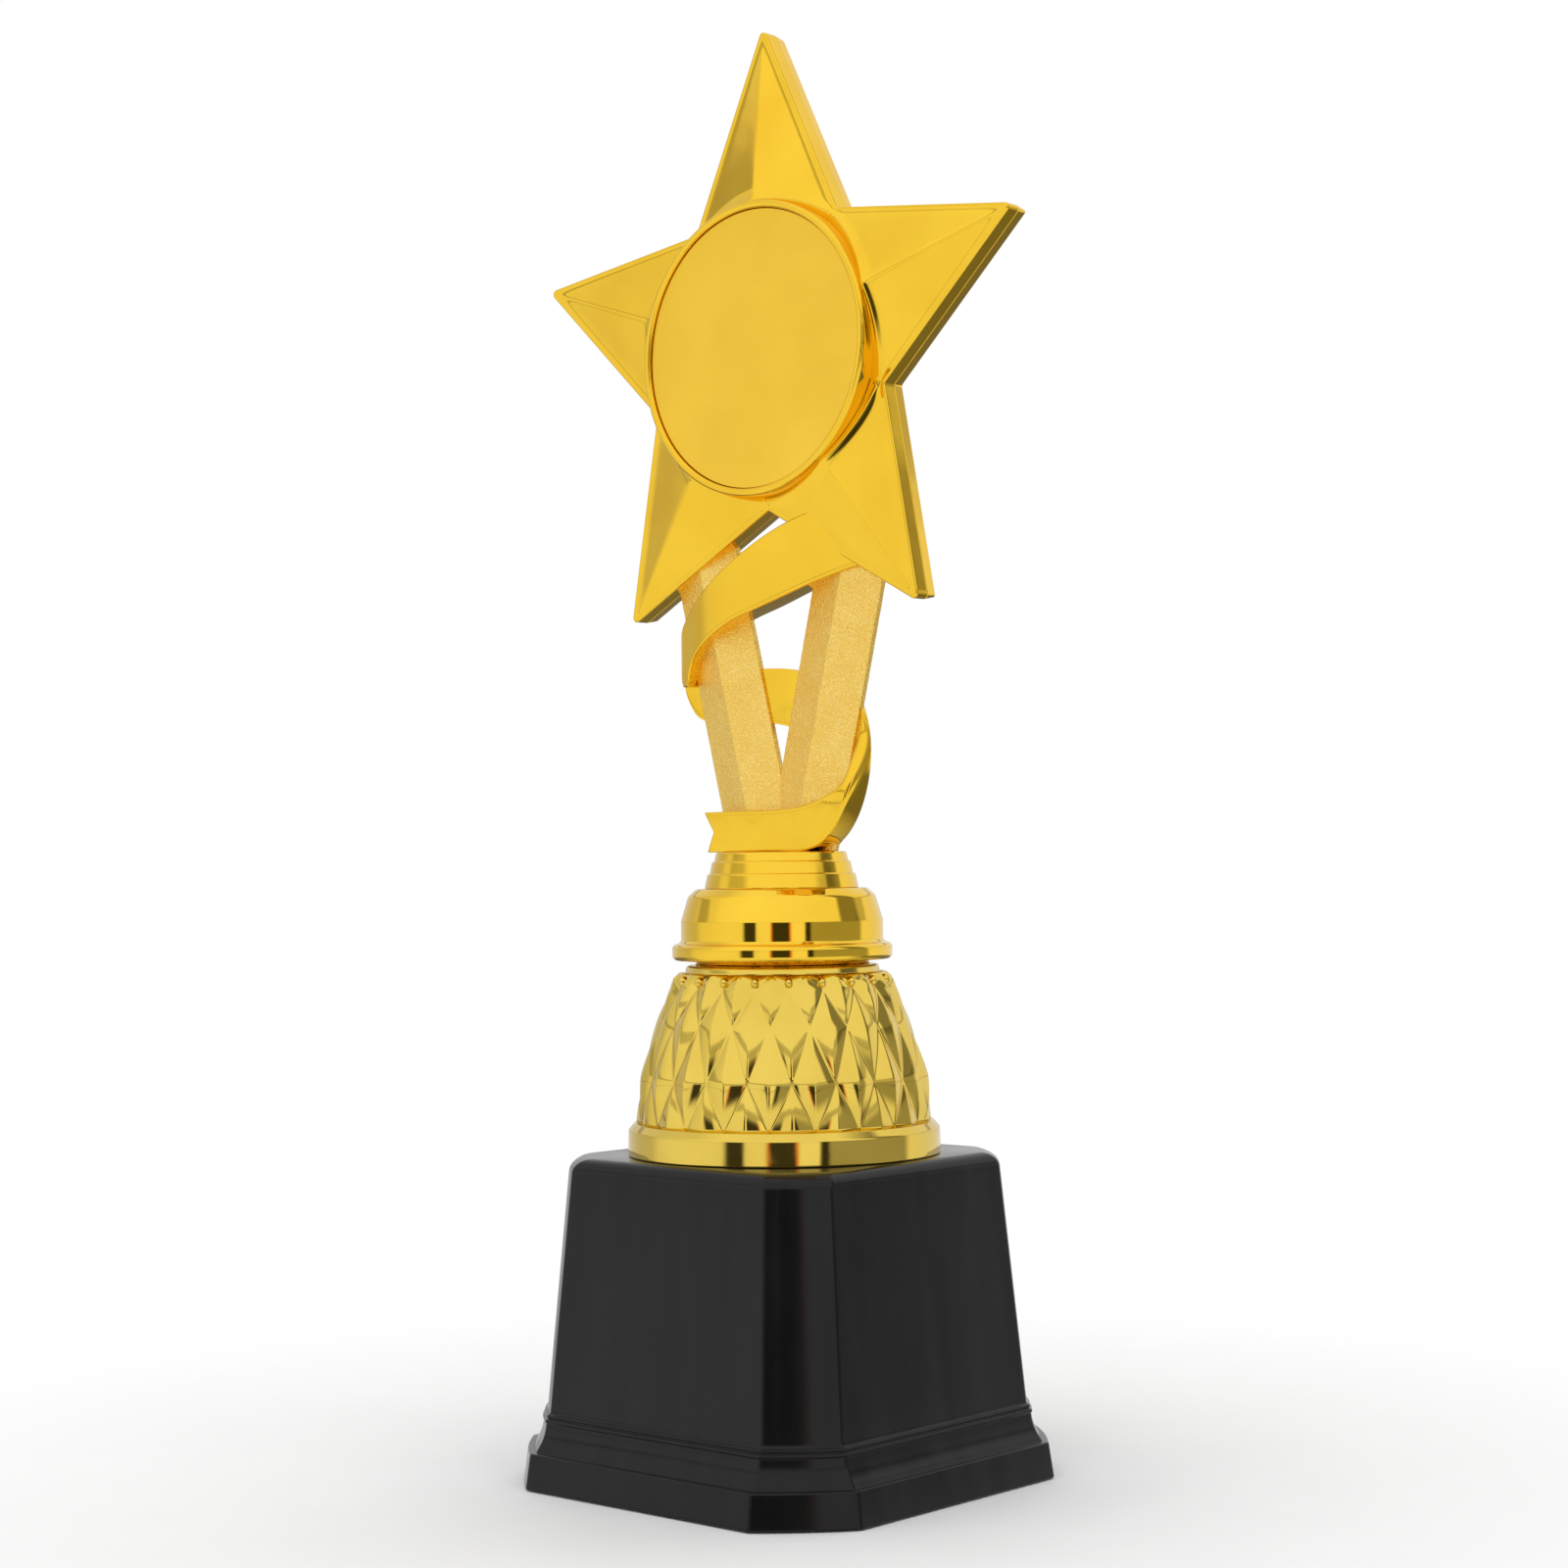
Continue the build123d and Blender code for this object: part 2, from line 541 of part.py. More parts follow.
def left_turn():
    """Outer edge of the ribbon where it passes round the left bar, as far as both halves share it."""
    return Spline((-23.3, 151.0), (-24.1, 147.5), (-24.0, 143.5))


def right_turn():
    """Outer edge of the ribbon where it comes round the right bar, down to the foot."""
    upper = [(19.5, 135.2), (20.4, 132.6), (20.7, 129.5), (20.5, 126.0)]
    return Spline(*upper, (19.6, 122.0), (17.6, 117.3), (14.4, 113.0), (11.3, TAIL_LOW_Z))


def ribbon_upper():
    """Strand that leaves the star's lower right arm, crosses the left bar and turns round it."""
    start = (STRAND_END_X, STRAND_END_HIGH_Z)
    end = (STRAND_END_X, STRAND_END_LOW_Z)
    top = Spline(start, (5.0, 169.2), (-6.2, 163.9), (-13.6, 159.4), (-20.0, 154.8), (-23.3, 151.0))
    side = Polyline((-24.0, 143.5), (-22.4, 141.2), (-20.4, 141.2))
    bottom_left = [(-20.4, 141.2), (-19.1, 145.5), (-16.8, 147.8), (-12.6, 150.2)]
    bottom = Spline(*bottom_left, (-6.7, 152.8), (-1.3, 154.4), (10.2, 157.9), end)
    outline = make_face(top + left_turn() + side + bottom + Line(end, start))
    front_middle = [(10.0, -3.2), (-4.0, -4.4), (-14.0, -4.1), (-20.3, -2.2)]
    front = Spline((STRAND_END_X, -1.9), *front_middle, (-24.3, RIBBON_PARTING_Y))
    back = Polyline((-24.3, RIBBON_PARTING_Y), (STRAND_END_X, RIBBON_PARTING_Y), (STRAND_END_X, -1.9))
    return relief_block(outline, make_face(front + back))


def ribbon_behind():
    """Strand behind the V, from the left turn to the right turn, thinner where it comes down."""
    top = Spline((-23.3, 151.0), (-20.0, 146.6), (-7.0, 143.9), (4.0, 143.0), (14.0, 138.6), (19.5, 135.2))
    bottom_right = [(11.3, TAIL_LOW_Z), (12.2, 122.0), (6.0, 131.6)]
    bottom = Spline(*bottom_right, (-4.0, 134.0), (-14.0, 134.7), (-19.7, 135.3))
    left = Spline((-19.7, 135.3), (-21.3, 136.3), (-22.5, 137.8), (-23.7, 140.6), (-24.0, 143.5))
    outline = make_face(top + right_turn() + bottom + left + left_turn())
    back = Spline((-24.3, RIBBON_PARTING_Y), (-21.6, 3.4), (-12.0, RIBBON_BACK_Y), (10.0, RIBBON_BACK_Y))
    back += Spline((10.0, RIBBON_BACK_Y), (17.0, 3.3), (21.0, RIBBON_PARTING_Y))
    plan = make_face(back + Line((21.0, RIBBON_PARTING_Y), (-24.3, RIBBON_PARTING_Y)))
    side_low = [(RIBBON_PARTING_Y, 109.0), (1.4, 109.0), (2.0, 113.5), (3.2, 122.0)]
    side_high = [(RIBBON_BACK_Y, 131.0), (RIBBON_BACK_Y, 154.0), (RIBBON_PARTING_Y, 154.0)]
    return relief_block(outline, plan, make_face(Polyline(*side_low, *side_high, close=True)))


def ribbon_tail():
    """Strand that comes round the right bar to the front and ends in a swallow tail."""
    top = Line((-14.8, TAIL_HIGH_Z - 0.2), (4.0, TAIL_HIGH_Z))
    top += Spline((4.0, TAIL_HIGH_Z), (10.4, 119.1), (14.9, 120.9), (17.4, 123.4), (18.1, 126.6), (19.5, 135.2))
    tail = Polyline((11.3, TAIL_LOW_Z), (-14.1, TAIL_LOW_Z), (-12.6, 114.2), (-14.8, TAIL_HIGH_Z - 0.2))
    outline = make_face(top + right_turn() + tail)
    front = Line((-16.0, RIBBON_TAIL_FRONT_Y), (16.0, RIBBON_TAIL_FRONT_Y))
    front += Spline((16.0, RIBBON_TAIL_FRONT_Y), (19.4, -3.8), (21.0, -2.4))
    corner = (-16.0, RIBBON_TAIL_FRONT_Y)
    back = Polyline((21.0, -2.4), (21.0, RIBBON_PARTING_Y), (-16.0, RIBBON_PARTING_Y), corner)
    side_front = [(RIBBON_TAIL_FRONT_Y, 109.0), (RIBBON_TAIL_FRONT_Y, 121.0), (-0.6, 132.0), (-0.6, 137.0)]
    side_back = [(RIBBON_PARTING_Y, 137.0), (RIBBON_PARTING_Y, 109.0)]
    profile = make_face(Polyline(*side_front, *side_back, close=True))
    return relief_block(outline, make_face(front + back), profile)


def make_ribbon():
    """The three strands as one moulding, cut back to the bars and to the star's side wall."""
    ribbon = ribbon_upper() + ribbon_behind() + ribbon_tail()
    for side in (-1, 1):
        ribbon -= bar_envelope(side)
    return ribbon - star_slab(0, -8, 8)


# ---------------------------------------------------------------- all nodes


def main():
    os.makedirs("parts", exist_ok=True)
    roof = BASE_HEIGHT - BASE_WALL - ROOF_BOSS_DEPTH
    washer_low = roof - WASHER_THICKNESS
    lock_low = washer_low - LOCK_WASHER_THICKNESS
    nut_low = lock_low - NUT_HEIGHT
    save("base_shell", make_base_shell())
    cover_low, cover_high = [(z, COVER_HALF, COVER_LEG) for z in (FELT_THICKNESS, REBATE_DEPTH)]
    save("base_cover", octagon_block(cover_low, cover_high))
    save("base_felt", octagon_block((0, FELT_HALF, FELT_LEG), (FELT_THICKNESS, FELT_HALF, FELT_LEG)))
    save("ballast_plate", make_ballast_plate())
    save("ballast_screws", Compound([make_ballast_screw(x, y) for x, y in column_places()]))
    save("tie_rod", ring(ROD_RADIUS, 0.0, ROD_BOTTOM, ROD_TOP))
    save("rod_washer", ring(WASHER_RADIUS, ROD_RADIUS + 0.2, washer_low, roof))
    save("rod_lock_washer", ring(LOCK_WASHER_RADIUS, ROD_RADIUS + 0.1, lock_low, washer_low))
    save("rod_nut", hexagon_nut(NUT_FLATS, nut_low, lock_low, ROD_RADIUS))
    save("cup_shell", make_cup_shell())
    save("collar_shell", make_collar_shell())
    save("figure_foot", make_figure_foot())
    save("foot_insert", hexagon_nut(NUT_FLATS, COLLAR_TOP, ROD_TOP, ROD_RADIUS))
    save("stem_left_bar", make_bar(-1))
    save("stem_right_bar", make_bar(1))
    save("ribbon", make_ribbon())
    save("star_front_shell", make_star_front_shell())
    save("star_back_shell", make_star_back_shell())
    save("star_screws", Compound([make_star_screw(x, z) for x, z in star_screw_places()]))
    save("medal_holder", make_medal_holder())
    tape_front = HOLDER_FLOOR_FRONT_Y - TAPE_THICKNESS
    save("disc_tape", rod_y(TAPE_RADIUS, HOLDER_FLOOR_FRONT_Y, tape_front, 0, STAR_Z))
    save("medal_disc", rod_y(DISC_RADIUS - 0.1, tape_front, DISC_FRONT_Y, 0, STAR_Z))


main()
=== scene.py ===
from math import atan2, ceil, cos, hypot, pi, radians, sin, sqrt, tan

import bmesh
import bpy
import numpy as np
from mathutils import Matrix, Vector, noise


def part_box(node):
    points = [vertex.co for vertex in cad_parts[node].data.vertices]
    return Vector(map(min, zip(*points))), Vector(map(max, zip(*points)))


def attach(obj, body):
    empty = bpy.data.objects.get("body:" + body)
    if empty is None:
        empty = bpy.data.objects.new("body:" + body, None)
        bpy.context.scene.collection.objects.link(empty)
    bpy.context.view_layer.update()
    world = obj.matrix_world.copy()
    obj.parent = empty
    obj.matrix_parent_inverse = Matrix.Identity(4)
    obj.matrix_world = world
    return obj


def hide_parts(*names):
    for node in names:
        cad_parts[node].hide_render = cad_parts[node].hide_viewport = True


# The looks of the star trophy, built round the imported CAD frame. Shapes are worked out in
# millimetres in the frame's axes, and mesh_object turns them into metres.

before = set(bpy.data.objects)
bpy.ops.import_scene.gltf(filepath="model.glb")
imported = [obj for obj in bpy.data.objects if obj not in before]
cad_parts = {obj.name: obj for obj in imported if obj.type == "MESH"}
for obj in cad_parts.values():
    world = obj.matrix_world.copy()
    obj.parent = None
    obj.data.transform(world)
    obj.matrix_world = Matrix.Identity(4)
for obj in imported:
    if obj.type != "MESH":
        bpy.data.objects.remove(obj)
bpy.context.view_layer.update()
scene = bpy.context.scene
MM = 0.001


# ---------------- what the frame says


def node_box(node):
    """Lowest and highest corner of a CAD node, in millimetres."""
    low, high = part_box(node)
    return low / MM, high / MM


BASE_HIGH = node_box("base_shell")[1]
CUP_HIGH = node_box("cup_shell")[1]
COLLAR_LOW, COLLAR_HIGH = node_box("collar_shell")
FOOT_LOW, FOOT_HIGH = node_box("figure_foot")
FRONT_HIGH = node_box("star_front_shell")[1]
BACK_LOW, BACK_HIGH = node_box("star_back_shell")
HOLDER_LOW, HOLDER_HIGH = node_box("medal_holder")
DISC_LOW, DISC_HIGH = node_box("medal_disc")
SCREWS_HIGH = node_box("star_screws")[1]

STAR_Z = (HOLDER_LOW.z + HOLDER_HIGH.z) / 2
HOLDER_RADIUS = HOLDER_HIGH.x
DISC_RADIUS = DISC_HIGH.x
BASE_TOP = BASE_HIGH.z
CUP_TOP = CUP_HIGH.z
FOOT_TOP = FOOT_HIGH.z
BORE_RADIUS = 2.8


# ---------------- mesh helpers


def mesh_object(name, points, faces):
    """Object from points in millimetres, with doubled points welded and every face turned outwards."""
    mesh = bpy.data.meshes.new(name)
    mesh.from_pydata([(x * MM, y * MM, z * MM) for x, y, z in points], [], faces)
    piece = bpy.data.objects.new(name, mesh)
    scene.collection.objects.link(piece)
    work = bmesh.new()
    work.from_mesh(mesh)
    bmesh.ops.remove_doubles(work, verts=work.verts, dist=0.002 * MM)
    bmesh.ops.dissolve_degenerate(work, edges=work.edges, dist=0.001 * MM)
    bmesh.ops.recalc_face_normals(work, faces=work.faces)
    work.to_mesh(mesh)
    work.free()
    mesh.shade_smooth()
    return piece


def join(pieces, name):
    """One object from several, named name."""
    bpy.ops.object.select_all(action="DESELECT")
    for piece in pieces:
        piece.select_set(True)
    bpy.context.view_layer.objects.active = pieces[0]
    bpy.ops.object.join()
    pieces[0].name = name
    pieces[0].data.name = name
    return pieces[0]


def apply_modifiers(piece):
    """Replace a piece's mesh by what its modifiers make of it."""
    graph = bpy.context.evaluated_depsgraph_get()
    made = bpy.data.meshes.new_from_object(piece.evaluated_get(graph))
    piece.modifiers.clear()
    piece.data = made
    made.shade_smooth()
    return piece


def finish_piece(piece, material, slot, *nodes):
    """Give a piece its material, let it ride on the object and stand for CAD nodes; slot is not used."""
    piece.data.materials.clear()
    piece.data.materials.append(material)
    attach(piece, "root")
    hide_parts(*nodes)
    return piece


def rounded_path(corners, closed=False, steps=6):
    """Path through corners (a, b, radius), each turned into an arc with a point just before and after it."""
    points = []
    count = len(corners)
    for index, (a, b, radius) in enumerate(corners):
        here = Vector((a, b))
        if radius <= 0 or (not closed and index in (0, count - 1)):
            points.append(here)
            continue
        back = here - Vector(corners[index - 1][:2])
        ahead = Vector(corners[(index + 1) % count][:2]) - here
        along, away = back.normalized(), ahead.normalized()
        turn = atan2(along.x * away.y - along.y * away.x, along.dot(away))
        reach = radius * tan(abs(turn) / 2)
        normal = Vector((-along.y, along.x)) * (1 if turn > 0 else -1)
        start = here - along * reach
        support = min(0.3 * reach, 0.3 * (back.length - reach), 0.3 * (ahead.length - reach))
        points.append(start - along * support)
        for step in range(steps + 1):
            angle = abs(turn) * step / steps
            points.append(start + along * radius * sin(angle) + normal * radius * (1 - cos(angle)))
        points.append(here + away * (reach + support))
    return points


def arc_through(start, middle, end, steps):
    """Points of the arc through three points, both ends included."""
    (ax, ay), (bx, by), (cx, cy) = start, middle, end
    scale = 2 * (ax * (by - cy) + bx * (cy - ay) + cx * (ay - by))
    a2, b2, c2 = ax * ax + ay * ay, bx * bx + by * by, cx * cx + cy * cy
    centre = Vector(
        (
            (a2 * (by - cy) + b2 * (cy - ay) + c2 * (ay - by)) / scale,
            (a2 * (cx - bx) + b2 * (ax - cx) + c2 * (bx - ax)) / scale,
        )
    )
    radius = (Vector(start) - centre).length
    first = atan2(ay - centre.y, ax - centre.x)
    sweep = (atan2(cy - centre.y, cx - centre.x) - first + pi) % (2 * pi) - pi
    angles = [first + sweep * step / steps for step in range(steps + 1)]
    return [centre + radius * Vector((cos(angle), sin(angle))) for angle in angles]


def cubic(knots, values):
    """Natural cubic spline as a function of the knots' variable."""
    knots, values = np.array(knots, float), np.array(values, float)
    gaps = np.diff(knots)
    size = len(knots)
    system, target = np.eye(size), np.zeros(size)
    for i in range(1, size - 1):
        system[i, i - 1 : i + 2] = gaps[i - 1], 2 * (gaps[i - 1] + gaps[i]), gaps[i]
        target[i] = 6 * ((values[i + 1] - values[i]) / gaps[i] - (values[i] - values[i - 1]) / gaps[i - 1])
    bends = np.linalg.solve(system, target)

    def at(x):
        i = int(np.clip(np.searchsorted(knots, x) - 1, 0, size - 2))
        h, left, right = gaps[i], knots[i + 1] - x, x - knots[i]
        line = (values[i] / h - bends[i] * h / 6) * left + (values[i + 1] / h - bends[i + 1] * h / 6) * right
        return float(line + (bends[i] * left**3 + bends[i + 1] * right**3) / (6 * h))

    return at


def smooth_curve(points):
    """Smooth curve through plane points, as a function of a share from 0 to 1 of its length."""
    travel = [0.0]
    for a, b in zip(points, points[1:]):
        travel.append(travel[-1] + hypot(b[0] - a[0], b[1] - a[1]))
    across = cubic(travel, [p[0] for p in points])
    up = cubic(travel, [p[1] for p in points])
    return lambda share: Vector((across(share * travel[-1]), up(share * travel[-1])))


def ring_faces(rings, closed=False):
    """Points and faces of a skin over rings of equally many points; closed joins the last to the first."""
    count = len(rings[0])
    faces = []
    for row in range(len(rings) if closed else len(rings) - 1):
        low, high = row * count, (row + 1) % len(rings) * count
        for i in range(count):
            j = (i + 1) % count
            faces.append((low + i, low + j, high + j, high + i))
    return [p for ring in rings for p in ring], faces


def loft(name, rings, closed=False):
    """Object skinned over rings."""
    return mesh_object(name, *ring_faces(rings, closed))


def upright_ring(radius, z, segments):
    """Circle of points about the trophy's axis."""
    angles = [2 * pi * i / segments for i in range(segments)]
    return [(radius * cos(a), radius * sin(a), z) for a in angles]


def facing_ring(radius, y, segments):
    """Circle of points about the star's axis, which runs along Y."""
    return [(a, y, STAR_Z + b) for a, b, _ in upright_ring(radius, y, segments)]


def lathe(name, path, ring_maker, segments=128, closed=True):
    """Turned piece from a path of (radius, height along the axis)."""
    return loft(name, [ring_maker(p[0], p[1], segments) for p in path], closed)


def cylinder(name, radius, low, high, ring_maker, segments):
    """Plain round piece between two heights along its axis."""
    return lathe(name, [(0, low), (radius, low), (radius, high), (0, high)], ring_maker, segments, False)


# ---------------- material helpers


class Nodes:
    """Short hand for building a material's node tree; a link takes the source's first output in use."""

    def __init__(self, name):
        self.material = bpy.data.materials.new(name)
        self.material.use_nodes = True
        self.tree = self.material.node_tree
        self.tree.nodes.clear()
        self.shader = self.add("ShaderNodeBsdfPrincipled")
        self.link(self.shader, self.add("ShaderNodeOutputMaterial"), "Surface")
        self.place = self.add("ShaderNodeTexCoord").outputs["Object"]

    def add(self, kind, **settings):
        node = self.tree.nodes.new(kind)
        for key, value in settings.items():
            setattr(node, key, value)
        return node

    def link(self, source, target, socket):
        output = next(output for output in source.outputs if output.enabled)
        self.tree.links.new(output, target.inputs[socket])

    def feed(self, **sources):
        """Nodes linked to the shader's sockets; underscores stand for spaces."""
        for key, source in sources.items():
            self.link(source, self.shader, key.replace("_", " "))

    def set(self, **values):
        """Constant values on the shader's own sockets; underscores stand for spaces."""
        for key, value in values.items():
            self.shader.inputs[key.replace("_", " ")].default_value = value

    def scaled(self, sizes):
        """Object coordinates stretched so that one unit is sizes metres."""
        mapping = self.add("ShaderNodeMapping")
        mapping.inputs["Scale"].default_value = [1 / size for size in sizes]
        self.tree.links.new(self.place, mapping.inputs["Vector"])
        return mapping

    def noise(self, size, detail=2.0, roughness=0.5, sizes=None, distortion=0.0):
        """Noise whose grain is size metres, or sizes metres along X, Y and Z."""
        node = self.add("ShaderNodeTexNoise")
        node.inputs["Scale"].default_value = 1.0
        node.inputs["Detail"].default_value = detail
        node.inputs["Roughness"].default_value = roughness
        node.inputs["Distortion"].default_value = distortion
        self.link(self.scaled(sizes or (size, size, size)), node, "Vector")
        return node

    def cells(self, size):
        """Distance to the middles of Voronoi cells size metres across."""
        node = self.add("ShaderNodeTexVoronoi")
        node.inputs["Scale"].default_value = 1.0
        self.link(self.scaled((size, size, size)), node, "Vector")
        return node

    def spread(self, source, low, high, to_low, to_high):
        """Map a value from low..high to to_low..to_high, clamped."""
        node = self.add("ShaderNodeMapRange")
        for socket, value in zip(("From Min", "From Max", "To Min", "To Max"), (low, high, to_low, to_high)):
            node.inputs[socket].default_value = value
        self.link(source, node, "Value")
        return node

    def combine(self, operation, first, second):
        """Two values put together by a math operation."""
        node = self.add("ShaderNodeMath", operation=operation)
        self.link(first, node, 0)
        self.link(second, node, 1)
        return node

    def paint(self, source, *stops):
        """Base colour from a ramp over a value; stops are (place, colour)."""
        ramp = self.add("ShaderNodeValToRGB")
        elements = ramp.color_ramp.elements
        while len(elements) < len(stops):
            elements.new(0.5)
        for element, (place, colour) in zip(elements, stops):
            element.position = place
            element.color = (*colour, 1)
        self.link(source, ramp, "Fac")
        self.feed(Base_Color=ramp)

    def bump(self, source, depth, below=None):
        """Bump of a height in metres, over another bump if given."""
        node = self.add("ShaderNodeBump")
        node.inputs["Strength"].default_value = 1.0
        node.inputs["Distance"].default_value = depth
        self.link(source, node, "Height")
        if below is not None:
            self.link(below, node, "Normal")
        return node


def plated_gold(name, light, deep, roughness, ripple):
    """Bright gold plating over moulded plastic: slow ripples, fine pits, handling marks and thinner spots."""
    n = Nodes(name)
    n.paint(n.noise(0.014, detail=3.0), (0.32, deep), (0.62, light))
    marks = n.noise(0.006, detail=4.0, roughness=0.62, distortion=0.6)
    scratches = n.noise(1, detail=3.0, sizes=(0.0004, 0.0004, 0.02))
    rubbed = n.spread(marks, 0.5, 0.78, roughness, roughness + 0.08)
    fine = n.spread(scratches, 0.6, 0.8, 0.0, 0.05)
    slow = n.bump(n.noise(0.007, detail=1.5), ripple)
    pits = n.bump(n.noise(0.0007, detail=2.0), ripple * 0.035, slow)
    n.feed(Roughness=n.combine("ADD", rubbed, fine), Normal=pits)
    n.set(Metallic=1.0)
    return n.material


def blasted_gold():
    """Sand-blasted gold: each grain mirrors another way, so single grains sparkle."""
    n = Nodes("blasted_gold")
    grains = n.spread(n.cells(0.00031), 0.0, 0.9, 0.74, 1.0)
    worn = n.spread(n.noise(0.006, detail=3.0), 0.3, 0.7, 0.93, 1.0)
    mixed = n.combine("MULTIPLY", grains, worn)
    n.paint(mixed, (0.70, (0.83, 0.51, 0.078)), (0.85, (0.96, 0.63, 0.13)), (0.98, (1.0, 0.76, 0.25)))
    coarse = n.bump(grains, 0.00026)
    fine = n.bump(n.noise(0.00018, detail=2.0), 0.00004, coarse)
    n.feed(Roughness=n.spread(n.noise(0.0005, detail=1.0), 0.35, 0.65, 0.24, 0.46), Normal=fine)
    n.set(Metallic=1.0)
    return n.material


def satin_gold():
    """Satin gold foil on the medal's disc: fine straight brushing and a few handling marks."""
    n = Nodes("satin_gold")
    brushed = n.noise(1, detail=3.0, sizes=(0.012, 0.012, 0.00016))
    mixed = n.combine("ADD", n.spread(brushed, 0.3, 0.7, -0.06, 0.06), n.noise(0.02, detail=2.0))
    n.paint(mixed, (0.35, (0.89, 0.565, 0.050)), (0.65, (0.96, 0.62, 0.062)))
    n.feed(Roughness=n.spread(brushed, 0.3, 0.7, 0.30, 0.38), Normal=n.bump(brushed, 0.000004))
    n.set(Metallic=1.0)
    return n.material


def black_plastic():
    """Injection-moulded black plastic: satin skin with flow marks and faint sink ripples."""
    n = Nodes("black_plastic")
    flow = n.noise(1, detail=3.0, sizes=(0.004, 0.004, 0.05))
    n.paint(flow, (0.3, (0.005, 0.005, 0.0055)), (0.7, (0.0085, 0.0083, 0.0085)))
    slow = n.bump(n.noise(1, detail=1.0, sizes=(0.011, 0.011, 0.06)), 0.00012)
    skin = n.bump(n.noise(0.0004, detail=2.0), 0.0000035, slow)
    n.feed(Roughness=n.spread(n.noise(0.018, detail=4.0), 0.3, 0.7, 0.12, 0.20), Normal=skin)
    n.set(Specular_IOR_Level=0.24)
    return n.material


def grainy(name, dark, light, size, roughness, depth, metallic=0.0):
    """Plain material: a grain of size metres in its colour, roughness and height."""
    n = Nodes(name)
    grain = n.noise(size, detail=4.0, roughness=0.6)
    n.paint(grain, (0.3, dark), (0.7, light))
    dull = n.spread(grain, 0.3, 0.7, roughness - 0.06, roughness + 0.06)
    n.feed(Roughness=dull, Normal=n.bump(grain, depth))
    n.set(Metallic=metallic)
    return n.material


def felt():
    """Pressed black felt: short fibres in every direction with a soft sheen."""
    n = Nodes("felt")
    fibres = n.noise(0.0006, detail=6.0, roughness=0.7, distortion=1.5)
    n.paint(fibres, (0.3, (0.010, 0.010, 0.011)), (0.7, (0.032, 0.032, 0.034)))
    n.feed(Normal=n.bump(fibres, 0.0003))
    n.set(Roughness=0.95, Sheen_Weight=0.6, Sheen_Roughness=0.5)
    return n.material


STAR_GOLD = plated_gold("star_gold", (0.905, 0.575, 0.042), (0.86, 0.525, 0.034), 0.05, 0.00003)
CUP_GOLD = plated_gold("cup_gold", (0.79, 0.57, 0.10), (0.72, 0.51, 0.08), 0.05, 0.00004)
COLLAR_GOLD = plated_gold("collar_gold", (0.92, 0.60, 0.05), (0.86, 0.54, 0.04), 0.04, 0.00002)
BLASTED_GOLD = blasted_gold()
SATIN_GOLD = satin_gold()
BLACK_PLASTIC = black_plastic()
FELT = felt()
BOARD = grainy("board", (0.10, 0.065, 0.04), (0.19, 0.13, 0.085), 0.0016, 0.75, 0.00006)
BALLAST = grainy("ballast_steel", (0.16, 0.16, 0.165), (0.33, 0.33, 0.34), 0.003, 0.42, 0.00003, 1.0)
ZINC = grainy("zinc_steel", (0.55, 0.56, 0.58), (0.74, 0.75, 0.77), 0.0012, 0.28, 0.00001, 1.0)
BRASS = grainy("insert_brass", (0.62, 0.42, 0.16), (0.78, 0.56, 0.24), 0.001, 0.3, 0.00001, 1.0)
TAPE = grainy("adhesive_foam", (0.62, 0.62, 0.60), (0.78, 0.78, 0.76), 0.0005, 0.85, 0.00004)


# ---------------- plinth

# Half widths across the flats of the tapered body, the legs of its cut corners, and what lies inside.
BODY_HALF_LOW, BODY_HALF_HIGH, BODY_LOW = 34.4, 30.8, 12.9
BODY_SHARES = (0.15, 0.3, 0.45, 0.6, 0.75, 0.9, 0.985)
LEG_LOW, LEG_HIGH, LEG_RATE = 9.4, 8.0, 0.76
CORNER_ROUND, CHAMFER_BULGE, TOP_ROUND = 0.9, 0.55, 2.5
STRAIGHT_PARTS = 6
TOP_RING_RADIUS, ROOF_THICKNESS, BOSS_RADIUS, BOSS_DEPTH = 24.0, 2.4, 9.5, 4.8
COLUMN_RADIUS, COLUMN_PLACE, COLUMN_LOW = 3.6, 21.0, 11.0


def corner_leg(half):
    """Chamfer leg that belongs to a half width, as on the CAD plinth."""
    if half > BODY_HALF_LOW:
        return LEG_LOW + LEG_RATE * (half - BODY_HALF_LOW)
    travel = max((half - BODY_HALF_HIGH) / (BODY_HALF_LOW - BODY_HALF_HIGH), 0.0)
    return LEG_HIGH + (LEG_LOW - LEG_HIGH) * travel


def octagon_ring(half, z):
    """Square with softly rounded chamfers that bulge a little; each straight is divided evenly."""
    flat = half - corner_leg(half)
    corners = [(half, -flat), (half, flat), (flat, half), (-flat, half)]
    corners += [(-x, -y) for x, y in corners]
    outline = rounded_path([(x, y, CORNER_ROUND) for x, y in corners], closed=True, steps=4)
    per_corner = len(outline) // len(corners)
    ring = []
    for i, point in enumerate(outline):
        ring.append((point.x, point.y, z))
        if i % per_corner == per_corner - 1:
            ahead = outline[(i + 1) % len(outline)]
            across = ahead - point
            outward = Vector((across.y, -across.x)).normalized()
            bulge = CHAMFER_BULGE if min(abs(across.x), abs(across.y)) > 1 else 0.0
            for step in range(1, STRAIGHT_PARTS):
                share = step / STRAIGHT_PARTS
                spot = point.lerp(ahead, share) + outward * bulge * 4 * share * (1 - share)
                ring.append((*spot, z))
    return ring


def round_ring(like, radius, z):
    """Circle with its points in the same directions as an octagon ring's."""
    return [(radius * x / hypot(x, y), radius * y / hypot(x, y), z) for x, y, _ in like]


